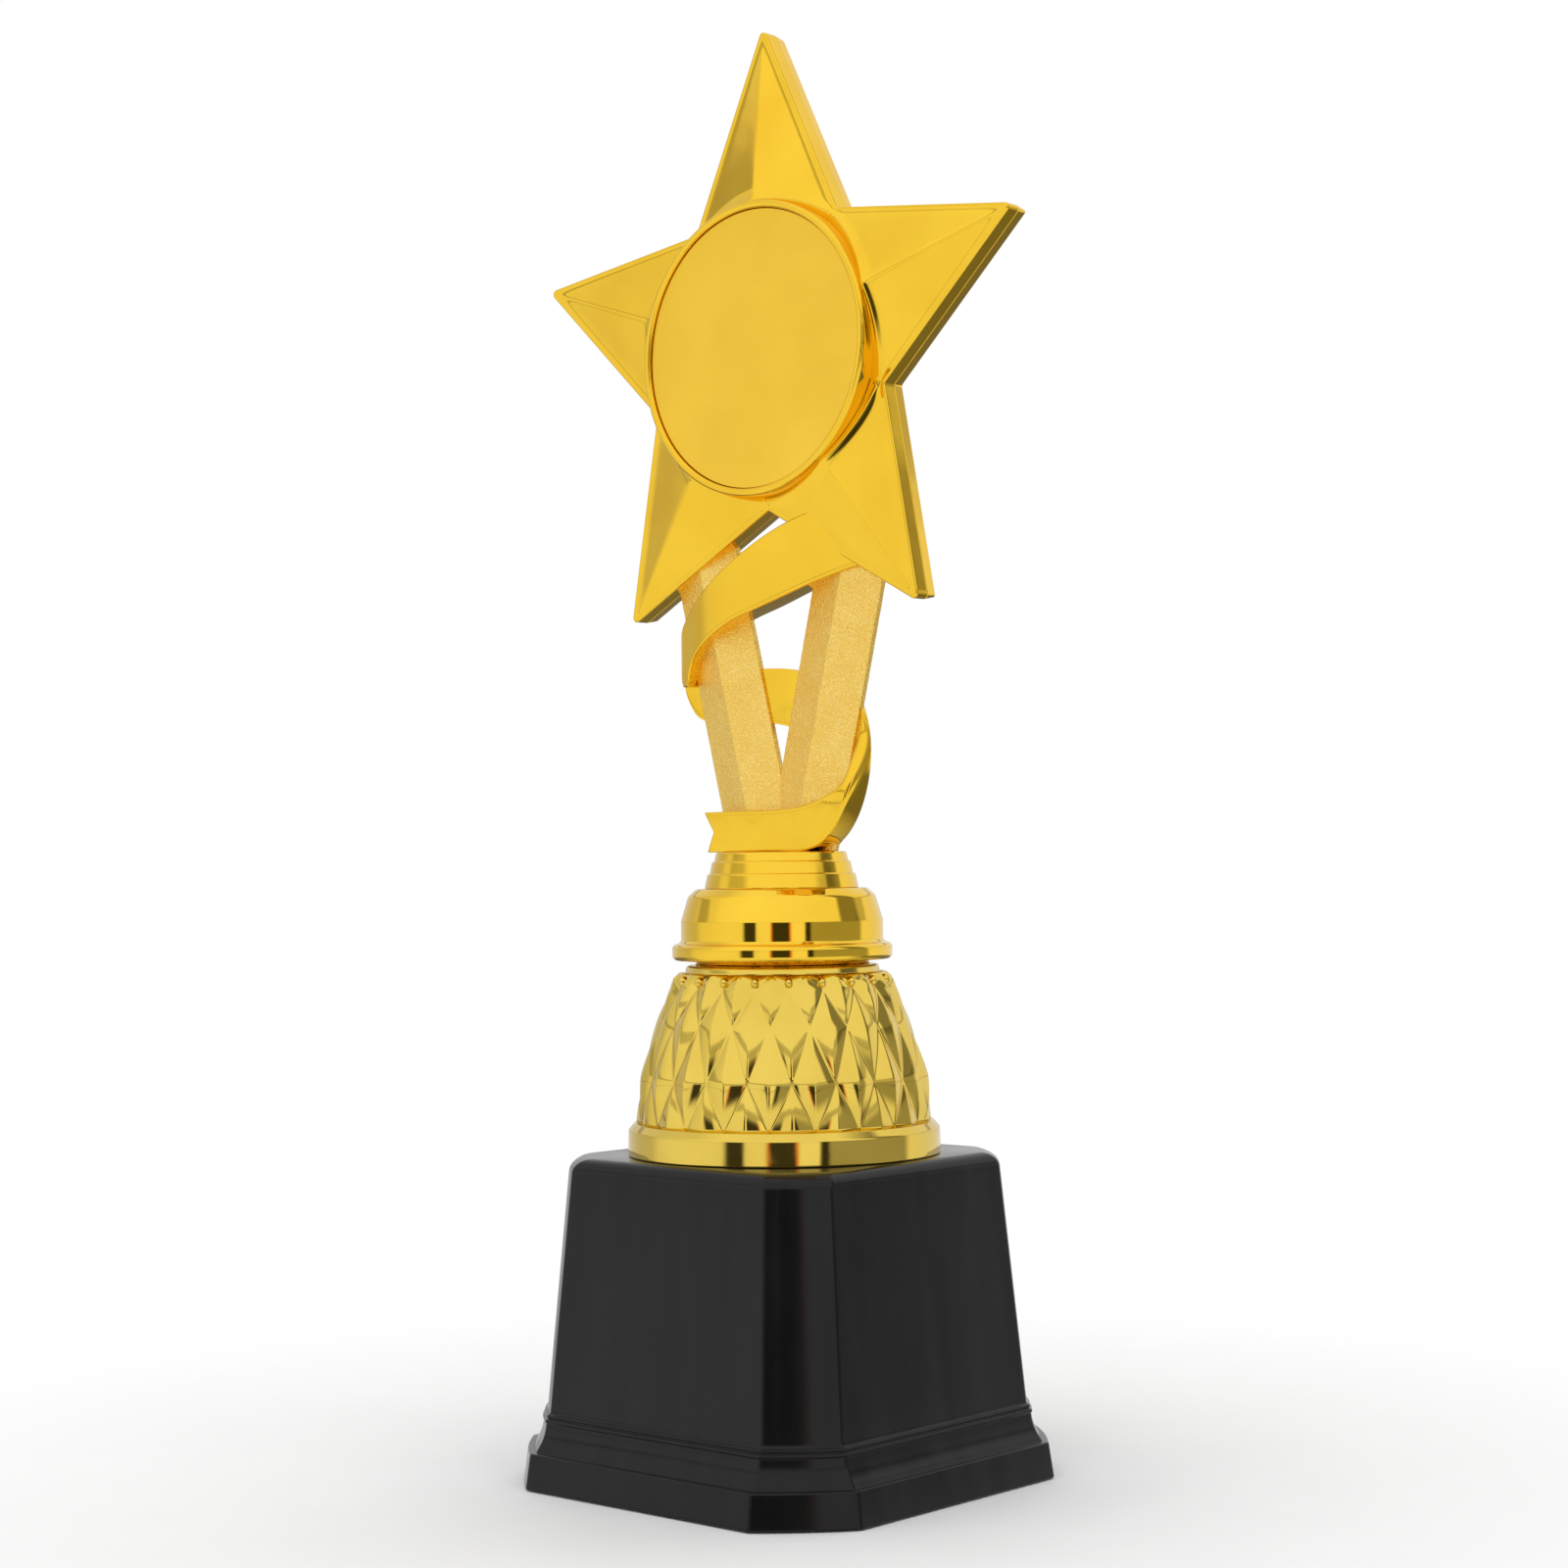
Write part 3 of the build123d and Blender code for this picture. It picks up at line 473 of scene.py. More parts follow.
def make_plinth():
    """Hollow plinth: foot band, cove, two small beads, tapered body, rounded top edge and its inside."""
    half, top = BASE_HIGH.x, BASE_TOP
    band = [(half - 0.5, 0.0, 0), (half, 0.0, 0.35), (38.45, 6.2, 0.42), (37.3, 6.2, 0.15), (36.9, 6.8, 0)]
    skin = rounded_path(band, steps=5)
    skin += arc_through((36.85, 6.9), (35.85, 8.6), (35.25, 10.95), 10)
    skin += arc_through((35.2, 11.1), (35.46, 11.45), (35.12, 11.8), 6)
    skin += arc_through((34.86, 11.98), (35.08, 12.28), (34.76, 12.6), 6)
    skin += [Vector((34.4, 12.85)), Vector((34.36, 13.4))]
    low, high = Vector((BODY_HALF_LOW, BODY_LOW)), Vector((BODY_HALF_HIGH, top - TOP_ROUND))
    skin += [low.lerp(high, share) for share in BODY_SHARES]
    skin += arc_through(high, (BODY_HALF_HIGH - 0.78, top - 0.76), (BODY_HALF_HIGH - TOP_ROUND, top), 10)
    rings = [octagon_ring(p[0], p[1]) for p in skin]
    outline = rings[-1]
    roof, boss = top - ROOF_THICKNESS, top - BOSS_DEPTH
    rounds = [(TOP_RING_RADIUS, top), (BORE_RADIUS, top), (BORE_RADIUS, boss), (BOSS_RADIUS, boss)]
    for radius, z in [*rounds, (BOSS_RADIUS, roof)]:
        rings.append(round_ring(outline, radius, z))
    for inner_half, z in ((28.4, roof), (32.2, 12.0), (33.4, 3.0), (37.2, 3.0), (37.2, 0.0)):
        rings.append(octagon_ring(inner_half, z))
    parts = [loft("plinth", rings, closed=True)]
    column_top = top - ROOF_THICKNESS / 2
    for sx in (-1, 1):
        for sy in (-1, 1):
            column = cylinder("column", COLUMN_RADIUS, COLUMN_LOW, column_top, upright_ring, 32)
            place = (sx * COLUMN_PLACE * MM, sy * COLUMN_PLACE * MM, 0)
            column.data.transform(Matrix.Translation(place))
            parts.append(column)
    return finish_piece(join(parts, "plinth_shell"), BLACK_PLASTIC, "black_plastic", "base_shell")


make_plinth()


# ---------------- cup

COLUMNS = 20
NECK_RADIUS, NECK_BAND_TOP = 17.3, 90.6
NECK_GROOVE_RADIUS = 16.4

# Levels of the diamond lattice as (height, radius on even steps, radius on odd steps). Valley lines run
# from corner to corner through the smaller radius of each level and the fields rise between them.
LATTICE = [
    (62.7, 25.5, 26.4),
    (70.8, 25.85, 24.6),
    (80.4, 21.9, 22.7),
    (86.8, 20.2, 19.2),
    (89.3, 18.6, 17.5),
]
# The lining behind the relief and the place of the beads are (radius, height).
LINING = [(16.4, 89.3), (15.6, 85.6), (20.5, 79.0), (23.0, 71.0), (24.2, 62.7), (25.2, 62.7)]
CELL_PARTS = 12
FIELD_BULGE, LEVEL_BOW = 0.09, 0.22
BEAD_PLACE, BEAD_HALVES = (18.65, 87.9), (0.75, 1.0, 0.95)


def cup_point(step, radius, z):
    """Point of the relief; step counts half columns round the axis from the front."""
    angle = step * pi / COLUMNS
    return (radius * sin(angle), -radius * cos(angle), z)


def relief_point(column, row):
    """Point of the relief at a half column and a lattice level, both with fractions."""
    c = int(min(column, 2 * COLUMNS - 1))
    k = int(min(row, len(LATTICE) - 2))
    u, v = column - c, row - k
    z = LATTICE[k][0] + v * (LATTICE[k + 1][0] - LATTICE[k][0])
    here, ahead = 1 + c % 2, 2 - c % 2
    if (c + k) % 2:
        here, ahead, u = ahead, here, 1 - u
    start, end = LATTICE[k][here], LATTICE[k + 1][ahead]
    rise = abs(u - v)
    if u > v:
        radius = start * (1 - u) + end * v + LATTICE[k][ahead] * rise
    else:
        radius = start * (1 - v) + end * u + LATTICE[k + 1][here] * rise
    radius += 4 * FIELD_BULGE * rise * (1 - rise) + 4 * LEVEL_BOW * v * (1 - v)
    return cup_point(column, radius, z)


def make_relief():
    """Sleeve of four-sided diamonds in staggered rows, closed by its lining."""
    columns, rows = 2 * COLUMNS * CELL_PARTS, (len(LATTICE) - 1) * CELL_PARTS
    rings = []
    for j in range(rows + 1):
        rings.append([relief_point(i / CELL_PARTS, j / CELL_PARTS) for i in range(columns)])
    for radius, z in LINING:
        rings.append([cup_point(i / CELL_PARTS, radius, z) for i in range(columns)])
    points, skin = ring_faces(rings, closed=True)
    faces = []
    for index, (a, b, c, d) in enumerate(skin[: rows * columns]):
        column, row = index % columns // CELL_PARTS, index // columns // CELL_PARTS
        if (column + row) % 2:
            faces += [(a, b, d), (b, c, d)]
        else:
            faces += [(a, b, c), (a, c, d)]
    return mesh_object("relief", points, faces + skin[rows * columns :])


def make_bead(step):
    """Small knob in the gap between two upper diamonds, under the neck."""
    lifts = [radians(15 * row - 90) for row in range(13)]
    bead = lathe("bead", [(cos(lift), sin(lift)) for lift in lifts], upright_ring, 20, False)
    place = Matrix.Translation(Vector(cup_point(step, *BEAD_PLACE)) * MM)
    turn = Matrix.Rotation(step * pi / COLUMNS, 4, "Z")
    bead.data.transform(place @ turn @ Matrix.Diagonal((*BEAD_HALVES, 1)))
    return bead


def make_cup():
    """Bell of the cup: foot band, relief with its beads, and the neck with its groove."""
    rim = CUP_HIGH.x
    band = [
        (25.9, BASE_TOP, 0.2),
        (rim, BASE_TOP, 0.3),
        (rim - 0.1, 61.5, 0.75),
        (26.75, 62.75, 0.3),
        (24.4, 62.7, 0.2),
    ]
    neck = [
        (BORE_RADIUS, 86.2, 0.2),
        (16.4, 86.2, 0.2),
        (NECK_RADIUS - 0.6, 88.9, 0.1),
        (NECK_RADIUS + 0.2, 89.2, 0.3),
        (NECK_RADIUS - 0.15, NECK_BAND_TOP, 0.6),
        (NECK_GROOVE_RADIUS - 0.6, NECK_BAND_TOP + 0.05, 0.1),
        (NECK_GROOVE_RADIUS - 1.0, CUP_TOP, 0.1),
        (BORE_RADIUS, CUP_TOP, 0.2),
    ]
    parts = [make_relief()]
    parts += [lathe("turned", rounded_path(path, closed=True), upright_ring) for path in (band, neck)]
    parts += [make_bead(step) for step in range(1, 2 * COLUMNS, 2)]
    return finish_piece(join(parts, "cup_bell"), CUP_GOLD, "plated_gold", "cup_shell")


make_cup()


# ---------------- collar and foot


def make_collar():
    """Collar with a rolled flange, a small step and a domed shoulder."""
    low, top, flange = COLLAR_LOW.z, COLLAR_HIGH.z, COLLAR_HIGH.x - 0.1
    profile = [
        (BORE_RADIUS, low, 0.2),
        (NECK_GROOVE_RADIUS - 1.0, low, 0.1),
        (NECK_GROOVE_RADIUS - 0.8, low + 0.4, 0.1),
        (flange, low + 0.4, 0.9),
        (flange, low + 3.1, 1.0),
        (18.5, low + 3.5, 0.15),
        (18.1, low + 3.95, 0.2),
        (18.1, 98.4, 0.5),
        (16.75, 102.9, 1.4),
        (15.3, top, 0.9),
        (13.4, top, 0.0),
        (BORE_RADIUS, top, 0.2),
    ]
    path = rounded_path(profile, closed=True, steps=8)
    return finish_piece(lathe("collar_ring", path, upright_ring), COLLAR_GOLD, "plated_gold", "collar_shell")


def make_foot():
    """Foot of the figure: three low steps with rounded edges."""
    low, top = FOOT_LOW.z, FOOT_TOP
    profile = [
        (0.0, low, 0),
        (13.8, low, 0.15),
        (13.25, 106.8, 0.36),
        (12.85, 106.9, 0.08),
        (12.4, 109.0, 0.34),
        (12.0, 109.1, 0.08),
        (11.65, top, 0.4),
        (0.0, top, 0),
    ]
    path = rounded_path(profile, steps=8)
    piece = lathe("figure_foot_steps", path, upright_ring, closed=False)
    return finish_piece(piece, COLLAR_GOLD, "plated_gold", "figure_foot")


make_collar()
make_foot()


# ---------------- star

# TIP_CUT is what the rounding takes off the sharp tip of an arm. Flat borders start at FRONT_START and
# BACK_START from the outline and end at BORDER, where the facets begin to rise. ACROSS holds shares of the
# way from a notch or an edge to a ridge, closer together at both ends.
TIP_ROUND, TIP_CUT = 0.9, 1.186
STAR_RADIUS = FRONT_HIGH.z - STAR_Z + TIP_CUT
NOTCH_RADIUS, NOTCH_ROUND = 28.8, 0.35
PARTING_INSET, FRONT_START, BACK_START = 0.4, 0.95, 1.45
BORDER, FRONT_SOFTNESS, BACK_SOFTNESS = 1.4, 0.8, 0.5
RIDGE_ROUND = 0.7
FLARE_WIDTH, FLARE_HEIGHT = 2.4, 0.5
FACET_SLOPE, FACET_BOW = 0.285, 0.0025
FRONT_Y, REAR_Y, REAR_DRAFT = -2.6, 3.1, 0.5
PAD_RADIUS, PAD_ROUND = 24.4, 0.5
HALF_ARM = radians(36)
EDGE = Vector((NOTCH_RADIUS * cos(HALF_ARM) - STAR_RADIUS, NOTCH_RADIUS * sin(HALF_ARM))).normalized()
EDGE_NORMAL = Vector((EDGE.y, -EDGE.x))
EDGE_DISTANCE = STAR_RADIUS * EDGE_NORMAL.x
TIP_STEPS, EDGE_STEPS, NOTCH_STEPS = 5, 60, 4
ACROSS_STEPS = 26
EVEN = [step / ACROSS_STEPS for step in range(ACROSS_STEPS + 1)]
ACROSS = [(share + (1 - cos(pi * share)) / 2) / 2 for share in EVEN]
RIDGE_REACH, BULGE_REACH = 0.975, 0.96
HEAD_RADIUS, HEAD_HEIGHT, WELL_RADIUS = 2.3, 1.4, 2.6


def half_edge(inset):
    """Outline from the middle of a tip to the middle of a notch, in the arm's own axes, moved in by inset."""
    scale = 1 - inset / EDGE_DISTANCE
    tip_radius = max(TIP_ROUND - inset, 0.15)
    notch_radius = NOTCH_ROUND + inset
    edge_angle = atan2(EDGE_NORMAL.y, EDGE_NORMAL.x)
    tip_centre = Vector((STAR_RADIUS * scale - tip_radius / EDGE_NORMAL.x, 0))
    spots = []
    for step in range(TIP_STEPS + 1):
        angle = edge_angle * step / TIP_STEPS
        spots.append(tip_centre + tip_radius * Vector((cos(angle), sin(angle))))
    bisector = Vector((cos(HALF_ARM), sin(HALF_ARM)))
    reach = notch_radius / cos(edge_angle - HALF_ARM)
    notch_centre = bisector * (NOTCH_RADIUS * scale + reach)
    notch = []
    for step in range(NOTCH_STEPS + 1):
        angle = edge_angle + (HALF_ARM - edge_angle) * step / NOTCH_STEPS
        notch.append(notch_centre - notch_radius * Vector((cos(angle), sin(angle))))
    start, end = spots[-1], notch[0]
    spots += [start.lerp(end, step / EDGE_STEPS) for step in range(1, EDGE_STEPS)]
    return spots + notch


def on_star(arm, side, spot, y):
    """Point of the star from an arm's own axes (out along the arm, sideways) and a depth."""
    angle = radians(90 + 72 * arm)
    out, aside = Vector((cos(angle), sin(angle))), Vector((-sin(angle), cos(angle)))
    place = out * spot[0] + aside * side * spot[1]
    return (place.x, y, STAR_Z + place.y)


def notch_to_ridge(radius):
    """Arc about the star's axis from a notch to the ridge of an arm, in the arm's own axes."""
    angles = [HALF_ARM * (1 - s) for s in ACROSS]
    return [radius * Vector((cos(angle), sin(angle))) for angle in angles]


def star_ring(spots, depth):
    """Closed ring from spots that run from a notch to a ridge, mirrored for every arm; depth(spot) is Y."""
    ring = []
    for arm in range(5):
        ring += [on_star(arm, -1, spot, depth(spot)) for spot in spots[:-1]]
        ring += [on_star(arm, 1, spot, depth(spot)) for spot in reversed(spots[1:])]
    return ring


def outline_ring(inset, y):
    """Whole outline of the star, moved in by inset, at depth y."""
    return star_ring(half_edge(inset)[::-1], lambda spot: y)


def circle_ring(radius, y):
    """Circle with the same points as the inner edge of the facets."""
    return star_ring(notch_to_ridge(radius), lambda spot: y)


def facet_patches(inset, radius, depth):
    """Ten patches from the outline moved in by inset to a circle; depth(spot) gives each point's Y."""
    border, arc = half_edge(inset), notch_to_ridge(radius)
    valley, foot = arc[0], arc[-1]
    travel = [0.0]
    for a, b in zip(border, border[1:]):
        travel.append(travel[-1] + (b - a).length)
    rows = []
    for spot, gone in zip(border, travel):
        share = gone / travel[-1]
        ridge = border[0].lerp(foot, share * RIDGE_REACH)
        row = []
        for s, at_arc in zip(ACROSS, arc):
            bulge = at_arc - valley.lerp(foot, s)
            row.append(spot.lerp(ridge, s) + bulge * share**6 * BULGE_REACH)
        rows.append(row)
    rows.append(arc)
    points, faces = [], []
    width = len(ACROSS)
    for arm in range(5):
        for side in (-1, 1):
            first = len(points)
            for r, row in enumerate(rows):
                for c, spot in enumerate(row):
                    at_border = c == 0 and r < len(rows) - 1
                    points.append(on_star(arm, side, spot, depth(border[0] if at_border else spot)))
            for r in range(len(rows) - 1):
                for c in range(width - 1):
                    a = first + r * width + c
                    faces.append((a, a + 1, a + width + 1, a + width))
    return points, faces


def edge_depth(spot):
    """Distance of a spot from the arm's two edges, the smaller one, softened at the ridge."""
    out, aside = spot
    near = EDGE_DISTANCE - EDGE_NORMAL.x * out - EDGE_NORMAL.y * aside
    far = EDGE_DISTANCE - EDGE_NORMAL.x * out + EDGE_NORMAL.y * aside
    return (near + far - sqrt((near - far) ** 2 + RIDGE_ROUND**2)) / 2


def soft_rise(distance, softness):
    """Zero below zero, rising with the distance above it, with a soft start."""
    return (distance + sqrt(distance * distance + softness * softness)) / 2


def make_star_shell(name, node, wall, *patches):
    """Shell from its side wall and further patches, each as points and faces."""
    points, faces = ring_faces([outline_ring(inset, y) for inset, y in wall])
    for patch_points, patch_faces in patches:
        shift = len(points)
        points += patch_points
        faces += [tuple(i + shift for i in face) for face in patch_faces]
    return finish_piece(mesh_object(name, points, faces), STAR_GOLD, "plated_gold", node)


def front_depth(spot):
    """Depth of the front facets: flat border, soft bend, slope and a small flare at the medal holder."""
    inside = edge_depth(spot)
    if inside <= FRONT_START + 0.02:
        return FRONT_Y
    rise = soft_rise(inside - BORDER, FRONT_SOFTNESS) - soft_rise(FRONT_START - BORDER, FRONT_SOFTNESS)
    near_holder = max(1 - (spot.length - HOLDER_RADIUS) / FLARE_WIDTH, 0.0)
    return FRONT_Y - FACET_SLOPE * max(rise, 0.0) + FACET_BOW * rise**2 - FLARE_HEIGHT * near_holder**2


def back_depth(spot):
    """Depth of the back facets: flat border, soft bend and slope up to the round pad."""
    inside, border = edge_depth(spot), REAR_DRAFT + BORDER
    if inside <= BACK_START + 0.02:
        return REAR_Y
    rise = soft_rise(inside - border, BACK_SOFTNESS) - soft_rise(BACK_START - border, BACK_SOFTNESS)
    return min(REAR_Y + FACET_SLOPE * max(rise, 0.0), BACK_HIGH.y - 0.02)


def build_star_front():
    """Front half of the star, open in the middle for the medal holder."""
    parting, radius = FRONT_HIGH.y, HOLDER_RADIUS - 0.1
    corners = [(PARTING_INSET, parting, 0), (0.0, parting, 0.14), (0.0, FRONT_Y, 0.34)]
    facets = facet_patches(FRONT_START, radius, front_depth)
    behind = facet_patches(PARTING_INSET, radius, lambda spot: parting)
    hole = [star_ring(notch_to_ridge(radius), front_depth), circle_ring(radius, parting)]
    wall = rounded_path([*corners, (FRONT_START, FRONT_Y, 0)], steps=5)
    return make_star_shell("star_front", "star_front_shell", wall, facets, ring_faces(hole), behind)


def build_star_back():
    """Rear half of the star with its round pad and the wells of the five screws."""
    parting, pad_y, pad = BACK_LOW.y, BACK_HIGH.y, PAD_RADIUS
    corners = [(PARTING_INSET, parting, 0), (0.0, parting, 0.14), (REAR_DRAFT, REAR_Y, 0.3)]
    wall = rounded_path([*corners, (BACK_START, REAR_Y, 0)], steps=5)
    facets = facet_patches(BACK_START, pad, back_depth)
    rim = rounded_path([(pad, pad_y - 2, 0), (pad, pad_y, PAD_ROUND), (pad - 3, pad_y, 0)], steps=5)
    rings = [star_ring(notch_to_ridge(pad), back_depth)]
    rings += [circle_ring(r, y) for r, y in [*rim[2:], (12, pad_y), (0, pad_y)]]
    behind = facet_patches(PARTING_INSET, pad, lambda spot: parting)
    core = ring_faces([circle_ring(pad, parting), circle_ring(0, parting)])
    patches = (facets, ring_faces(rings), behind, core)
    cut_screw_wells(make_star_shell("star_back", "star_back_shell", wall, *patches))


def cut_screw_wells(piece):
    """Round wells from behind, one in each arm, in which the screw heads lie."""
    arm = (SCREWS_HIGH.x - HEAD_RADIUS) / cos(radians(18))
    bottom, top = SCREWS_HIGH.y - HEAD_HEIGHT - 0.05, BACK_HIGH.y + 1
    wells = []
    for angle in (radians(90 + 72 * k) for k in range(5)):
        well = cylinder("well", WELL_RADIUS, bottom, top, facing_ring, 48)
        well.data.transform(Matrix.Translation((arm * cos(angle) * MM, 0, arm * sin(angle) * MM)))
        wells.append(well)
    cutter = join(wells, "wells")
    cut = piece.modifiers.new("wells", "BOOLEAN")
    cut.operation, cut.solver, cut.object = "DIFFERENCE", "EXACT", cutter
    apply_modifiers(piece)
    piece.data.set_sharp_from_angle(angle=radians(40))
    bpy.data.objects.remove(cutter)


build_star_front()
build_star_back()


def make_medal():
    """Round holder with a raised rim, and the satin disc that lies in it."""
    front, back = HOLDER_LOW.y, HOLDER_HIGH.y
    floor_front, floor_back = front + 1.7, front + 2.9
    radius, recess = HOLDER_RADIUS, DISC_RADIUS + 0.1
    holder_profile = [
        (0, floor_front, 0),
        (recess, floor_front, 0.1),
        (recess, front, 0.45),
        (radius, front, 0.6),
        (radius, back, 0.15),
        (recess, back, 0.15),
        (recess, floor_back, 0.15),
        (0, floor_back, 0),
    ]
    holder = lathe("medal_rim", rounded_path(holder_profile, steps=7), facing_ring, 192, False)
    finish_piece(holder, STAR_GOLD, "plated_gold", "medal_holder")
    disc_profile = [
        (0, DISC_LOW.y, 0),
        (DISC_RADIUS, DISC_LOW.y, 0.12),
        (DISC_RADIUS, DISC_HIGH.y, 0.1),
        (0, DISC_HIGH.y, 0),
    ]
    disc = lathe("medal_face", rounded_path(disc_profile, steps=4), facing_ring, 192, False)
    finish_piece(disc, SATIN_GOLD, "satin_gold", "medal_disc")


make_medal()


# ---------------- V stem

# Each bar leans outwards by BAR_SPREAD per unit of height; their inner edges meet at CROTCH_Z.
BAR_SPREAD, BAR_OUTER_AT_FOOT = 0.248, 12.5
CROTCH_Z, BAR_TOP = 124.6, 174.5
BAR_SIDE_FRONT, BAR_SIDE_BACK, BAR_FRONT, BAR_BACK = 0.1, 1.3, -2.0, 2.4
GRAIN, GRAIN_HEIGHT = 0.4, 0.03


def make_bar(side, node):
    """Six-sided bar with softly rounded edges and a sand-blasted skin."""
    slant = sqrt(1 + BAR_SPREAD**2)
    inner = -BAR_SPREAD * (CROTCH_Z - FOOT_TOP)
    middle, half = (BAR_OUTER_AT_FOOT + inner) / 2, (BAR_OUTER_AT_FOOT - inner) / 2 / slant
    section = [(-half, BAR_SIDE_FRONT, 0.18), (0, BAR_FRONT, 0.4), (half, BAR_SIDE_FRONT, 0.18)]
    section += [(half, BAR_SIDE_BACK, 0.18), (0, BAR_BACK, 0.4), (-half, BAR_SIDE_BACK, 0.18)]
    middle_y = (BAR_SIDE_FRONT + BAR_SIDE_BACK) / 2
    corners = rounded_path(section, closed=True, steps=3)
    outline = []
    for here, ahead in zip(corners, corners[1:] + corners[:1]):
        pieces = max(1, ceil((ahead - here).length / GRAIN))
        outline += [here.lerp(ahead, step / pieces) for step in range(pieces)]
    levels = ceil((BAR_TOP - FOOT_TOP) / GRAIN)
    rings = []
    for level in range(levels + 1):
        z = FOOT_TOP + (BAR_TOP - FOOT_TOP) * level / levels
        centre = side * (middle + BAR_SPREAD * (z - FOOT_TOP))
        ring = []
        for across, y in outline:
            spot = Vector((centre + side * across * slant, y, z))
            roughened = noise.noise(spot * 1.9) + noise.noise(spot * 0.8)
            outward = Vector((across / half, y - middle_y, 0)).normalized()
            ring.append(tuple(spot + outward * roughened * GRAIN_HEIGHT))
        rings.append(ring)
    points, faces = ring_faces(rings)
    count = len(outline)
    faces += [tuple(range(count)), tuple(range(levels * count, len(points)))]
    bar = mesh_object(node.replace("stem_", "") + "_blasted", points, faces)
    return finish_piece(bar, BLASTED_GOLD, "frosted_gold", node)


make_bar(-1, "stem_left_bar")
make_bar(1, "stem_right_bar")


# ---------------- ribbon

# The strands' rails are lists of (x, z) seen from the front; each strand is thick between two depths in Y.
PARTING_Y = 0.8
RIBBON_FRONT, RIBBON_BACK = -4.2, 4.35
SLICES = 100
FACE_SHARES = [0.06, 0.15, 0.3, 0.5, 0.7, 0.85, 0.94]
ROUND_STEPS = 6


def smooth_step(value, low, high):
    """0 below low, 1 above high, smooth between."""
    share = min(max((value - low) / (high - low), 0.0), 1.0)
    return share * share * (3 - 2 * share)


def strand_side(bottom, top, depth, towards, radius, bow):
    """Points across a strand on one side, from its bottom edge to its top edge, with rounded edges.

    depth(x, z) is the face's Y, towards is -1 for the front and 1 for the back, and bow(share) moves X.
    """
    across = top - bottom
    width = across.length
    radius = min(radius, 0.4 * width)
    turns = [pi / 2 * k / ROUND_STEPS for k in range(ROUND_STEPS + 1)]
    offsets = [(radius * (1 - cos(turn)), radius * (1 - sin(turn))) for turn in turns]
    stations = list(offsets)
    stations += [(radius + (width - 2 * radius) * share, 0.0) for share in FACE_SHARES]
    stations += [(width - gone, lift) for gone, lift in reversed(offsets)]
    row = []
    for gone, lift in stations:
        share = gone / width
        spot = bottom + across * share
        x = spot.x + bow(share)
        row.append((x, depth(x, spot.y) - towards * lift, spot.y))
    return row


def make_strand(name, bottom, top, front, back, radii, bow=lambda share, s: 0.0):
    """Closed moulded strand between a bottom rail and a top rail, with its front and back faces."""
    rings = []
    for i in range(SLICES + 1):
        even = i / SLICES
        share = (even + (1 - cos(pi * even)) / 2) / 2
        low, high = bottom(share), top(share)
        front_row = strand_side(low, high, front, -1, radii[0](share), lambda s: bow(share, s))
        back_row = strand_side(low, high, back, 1, radii[1](share), lambda s: bow(share, s))
        rings.append(front_row + back_row[::-1])
    points, faces = ring_faces(rings)
    count = len(rings[0])
    for first in (0, SLICES * count):
        for k in range(count // 2 - 1):
            a, b = first + k, first + count - 1 - k
            faces.append((a, a + 1, b - 1, b))
    return mesh_object(name, points, faces)


def upper_strand():
    """Strand that leaves the star's lower right arm, crosses the left bar and turns round it."""
    low_right = [(24.0, 161.2), (10.2, 157.9), (-1.3, 154.35), (-6.7, 152.8), (-12.6, 150.2)]
    low_left = [(-16.8, 147.8), (-19.1, 145.55), (-20.3, 142.8), (-20.5, 141.2)]
    high_right = [(24.0, 173.0), (5.0, 169.2), (-6.2, 163.9), (-13.6, 159.4), (-20.0, 154.8)]
    high_left = [(-23.3, 151.0), (-24.1, 147.5), (-23.9, 144.0), (-22.5, 141.2)]
    places = [(-24.6, 0.9), (-24.1, 0.2), (-23.4, -0.8), (-22.0, -1.6), (-20.3, -2.2), (-18.0, -3.0)]
    places += [(-14.0, -4.05), (-4.0, -4.4), (10.0, -3.2), (24.0, -1.9)]
    front = cubic([x for x, _ in places], [y for _, y in places])
    return make_strand(
        "upper",
        smooth_curve(low_right + low_left),
        smooth_curve(high_right + high_left),
        lambda x, z: min(front(x), PARTING_Y),
        lambda x, z: PARTING_Y + 0.2,
        (lambda share: 0.4, lambda share: 0.05),
    )


def behind_strand():
    """Strand behind the V, thinner where it comes down to the foot at the right."""
    low_left = [(-24.0, 143.2), (-23.6, 140.2), (-22.3, 137.6), (-20.6, 135.7), (-18.0, 134.8)]
    low_right = [(-12.0, 134.5), (-4.0, 134.0), (3.0, 132.6), (8.0, 129.0), (11.0, 122.0), (10.6, 110.75)]
    high_left = [(-23.8, 149.6), (-22.0, 148.2), (-18.0, 146.1), (-7.0, 143.9), (4.0, 143.0), (14.0, 138.6)]
    high_right = [(18.2, 136.0), (20.0, 133.5), (20.6, 129.5), (20.4, 126.0), (19.4, 122.0), (17.3, 117.3)]
    high_right += [(14.0, 113.0), (11.6, 110.9)]

    def back(x, z):
        left = smooth_step(x, -24.6, -19.0)
        right = smooth_step(-x, -20.9, -14.5)
        low = 0.16 + 0.84 * smooth_step(z, 113.0, 131.0)
        return PARTING_Y + 0.1 + (RIBBON_BACK - PARTING_Y) * left * right * (low if x > 0 else 1.0)

    return make_strand(
        "behind",
        smooth_curve(low_left + low_right),
        smooth_curve(high_left + high_right),
        lambda x, z: PARTING_Y - 0.2,
        back,
        (lambda share: 0.05, lambda share: 0.35),
        lambda share, s: -0.6 * max(1 - share * 12, 0) * 4 * s * (1 - s),
    )


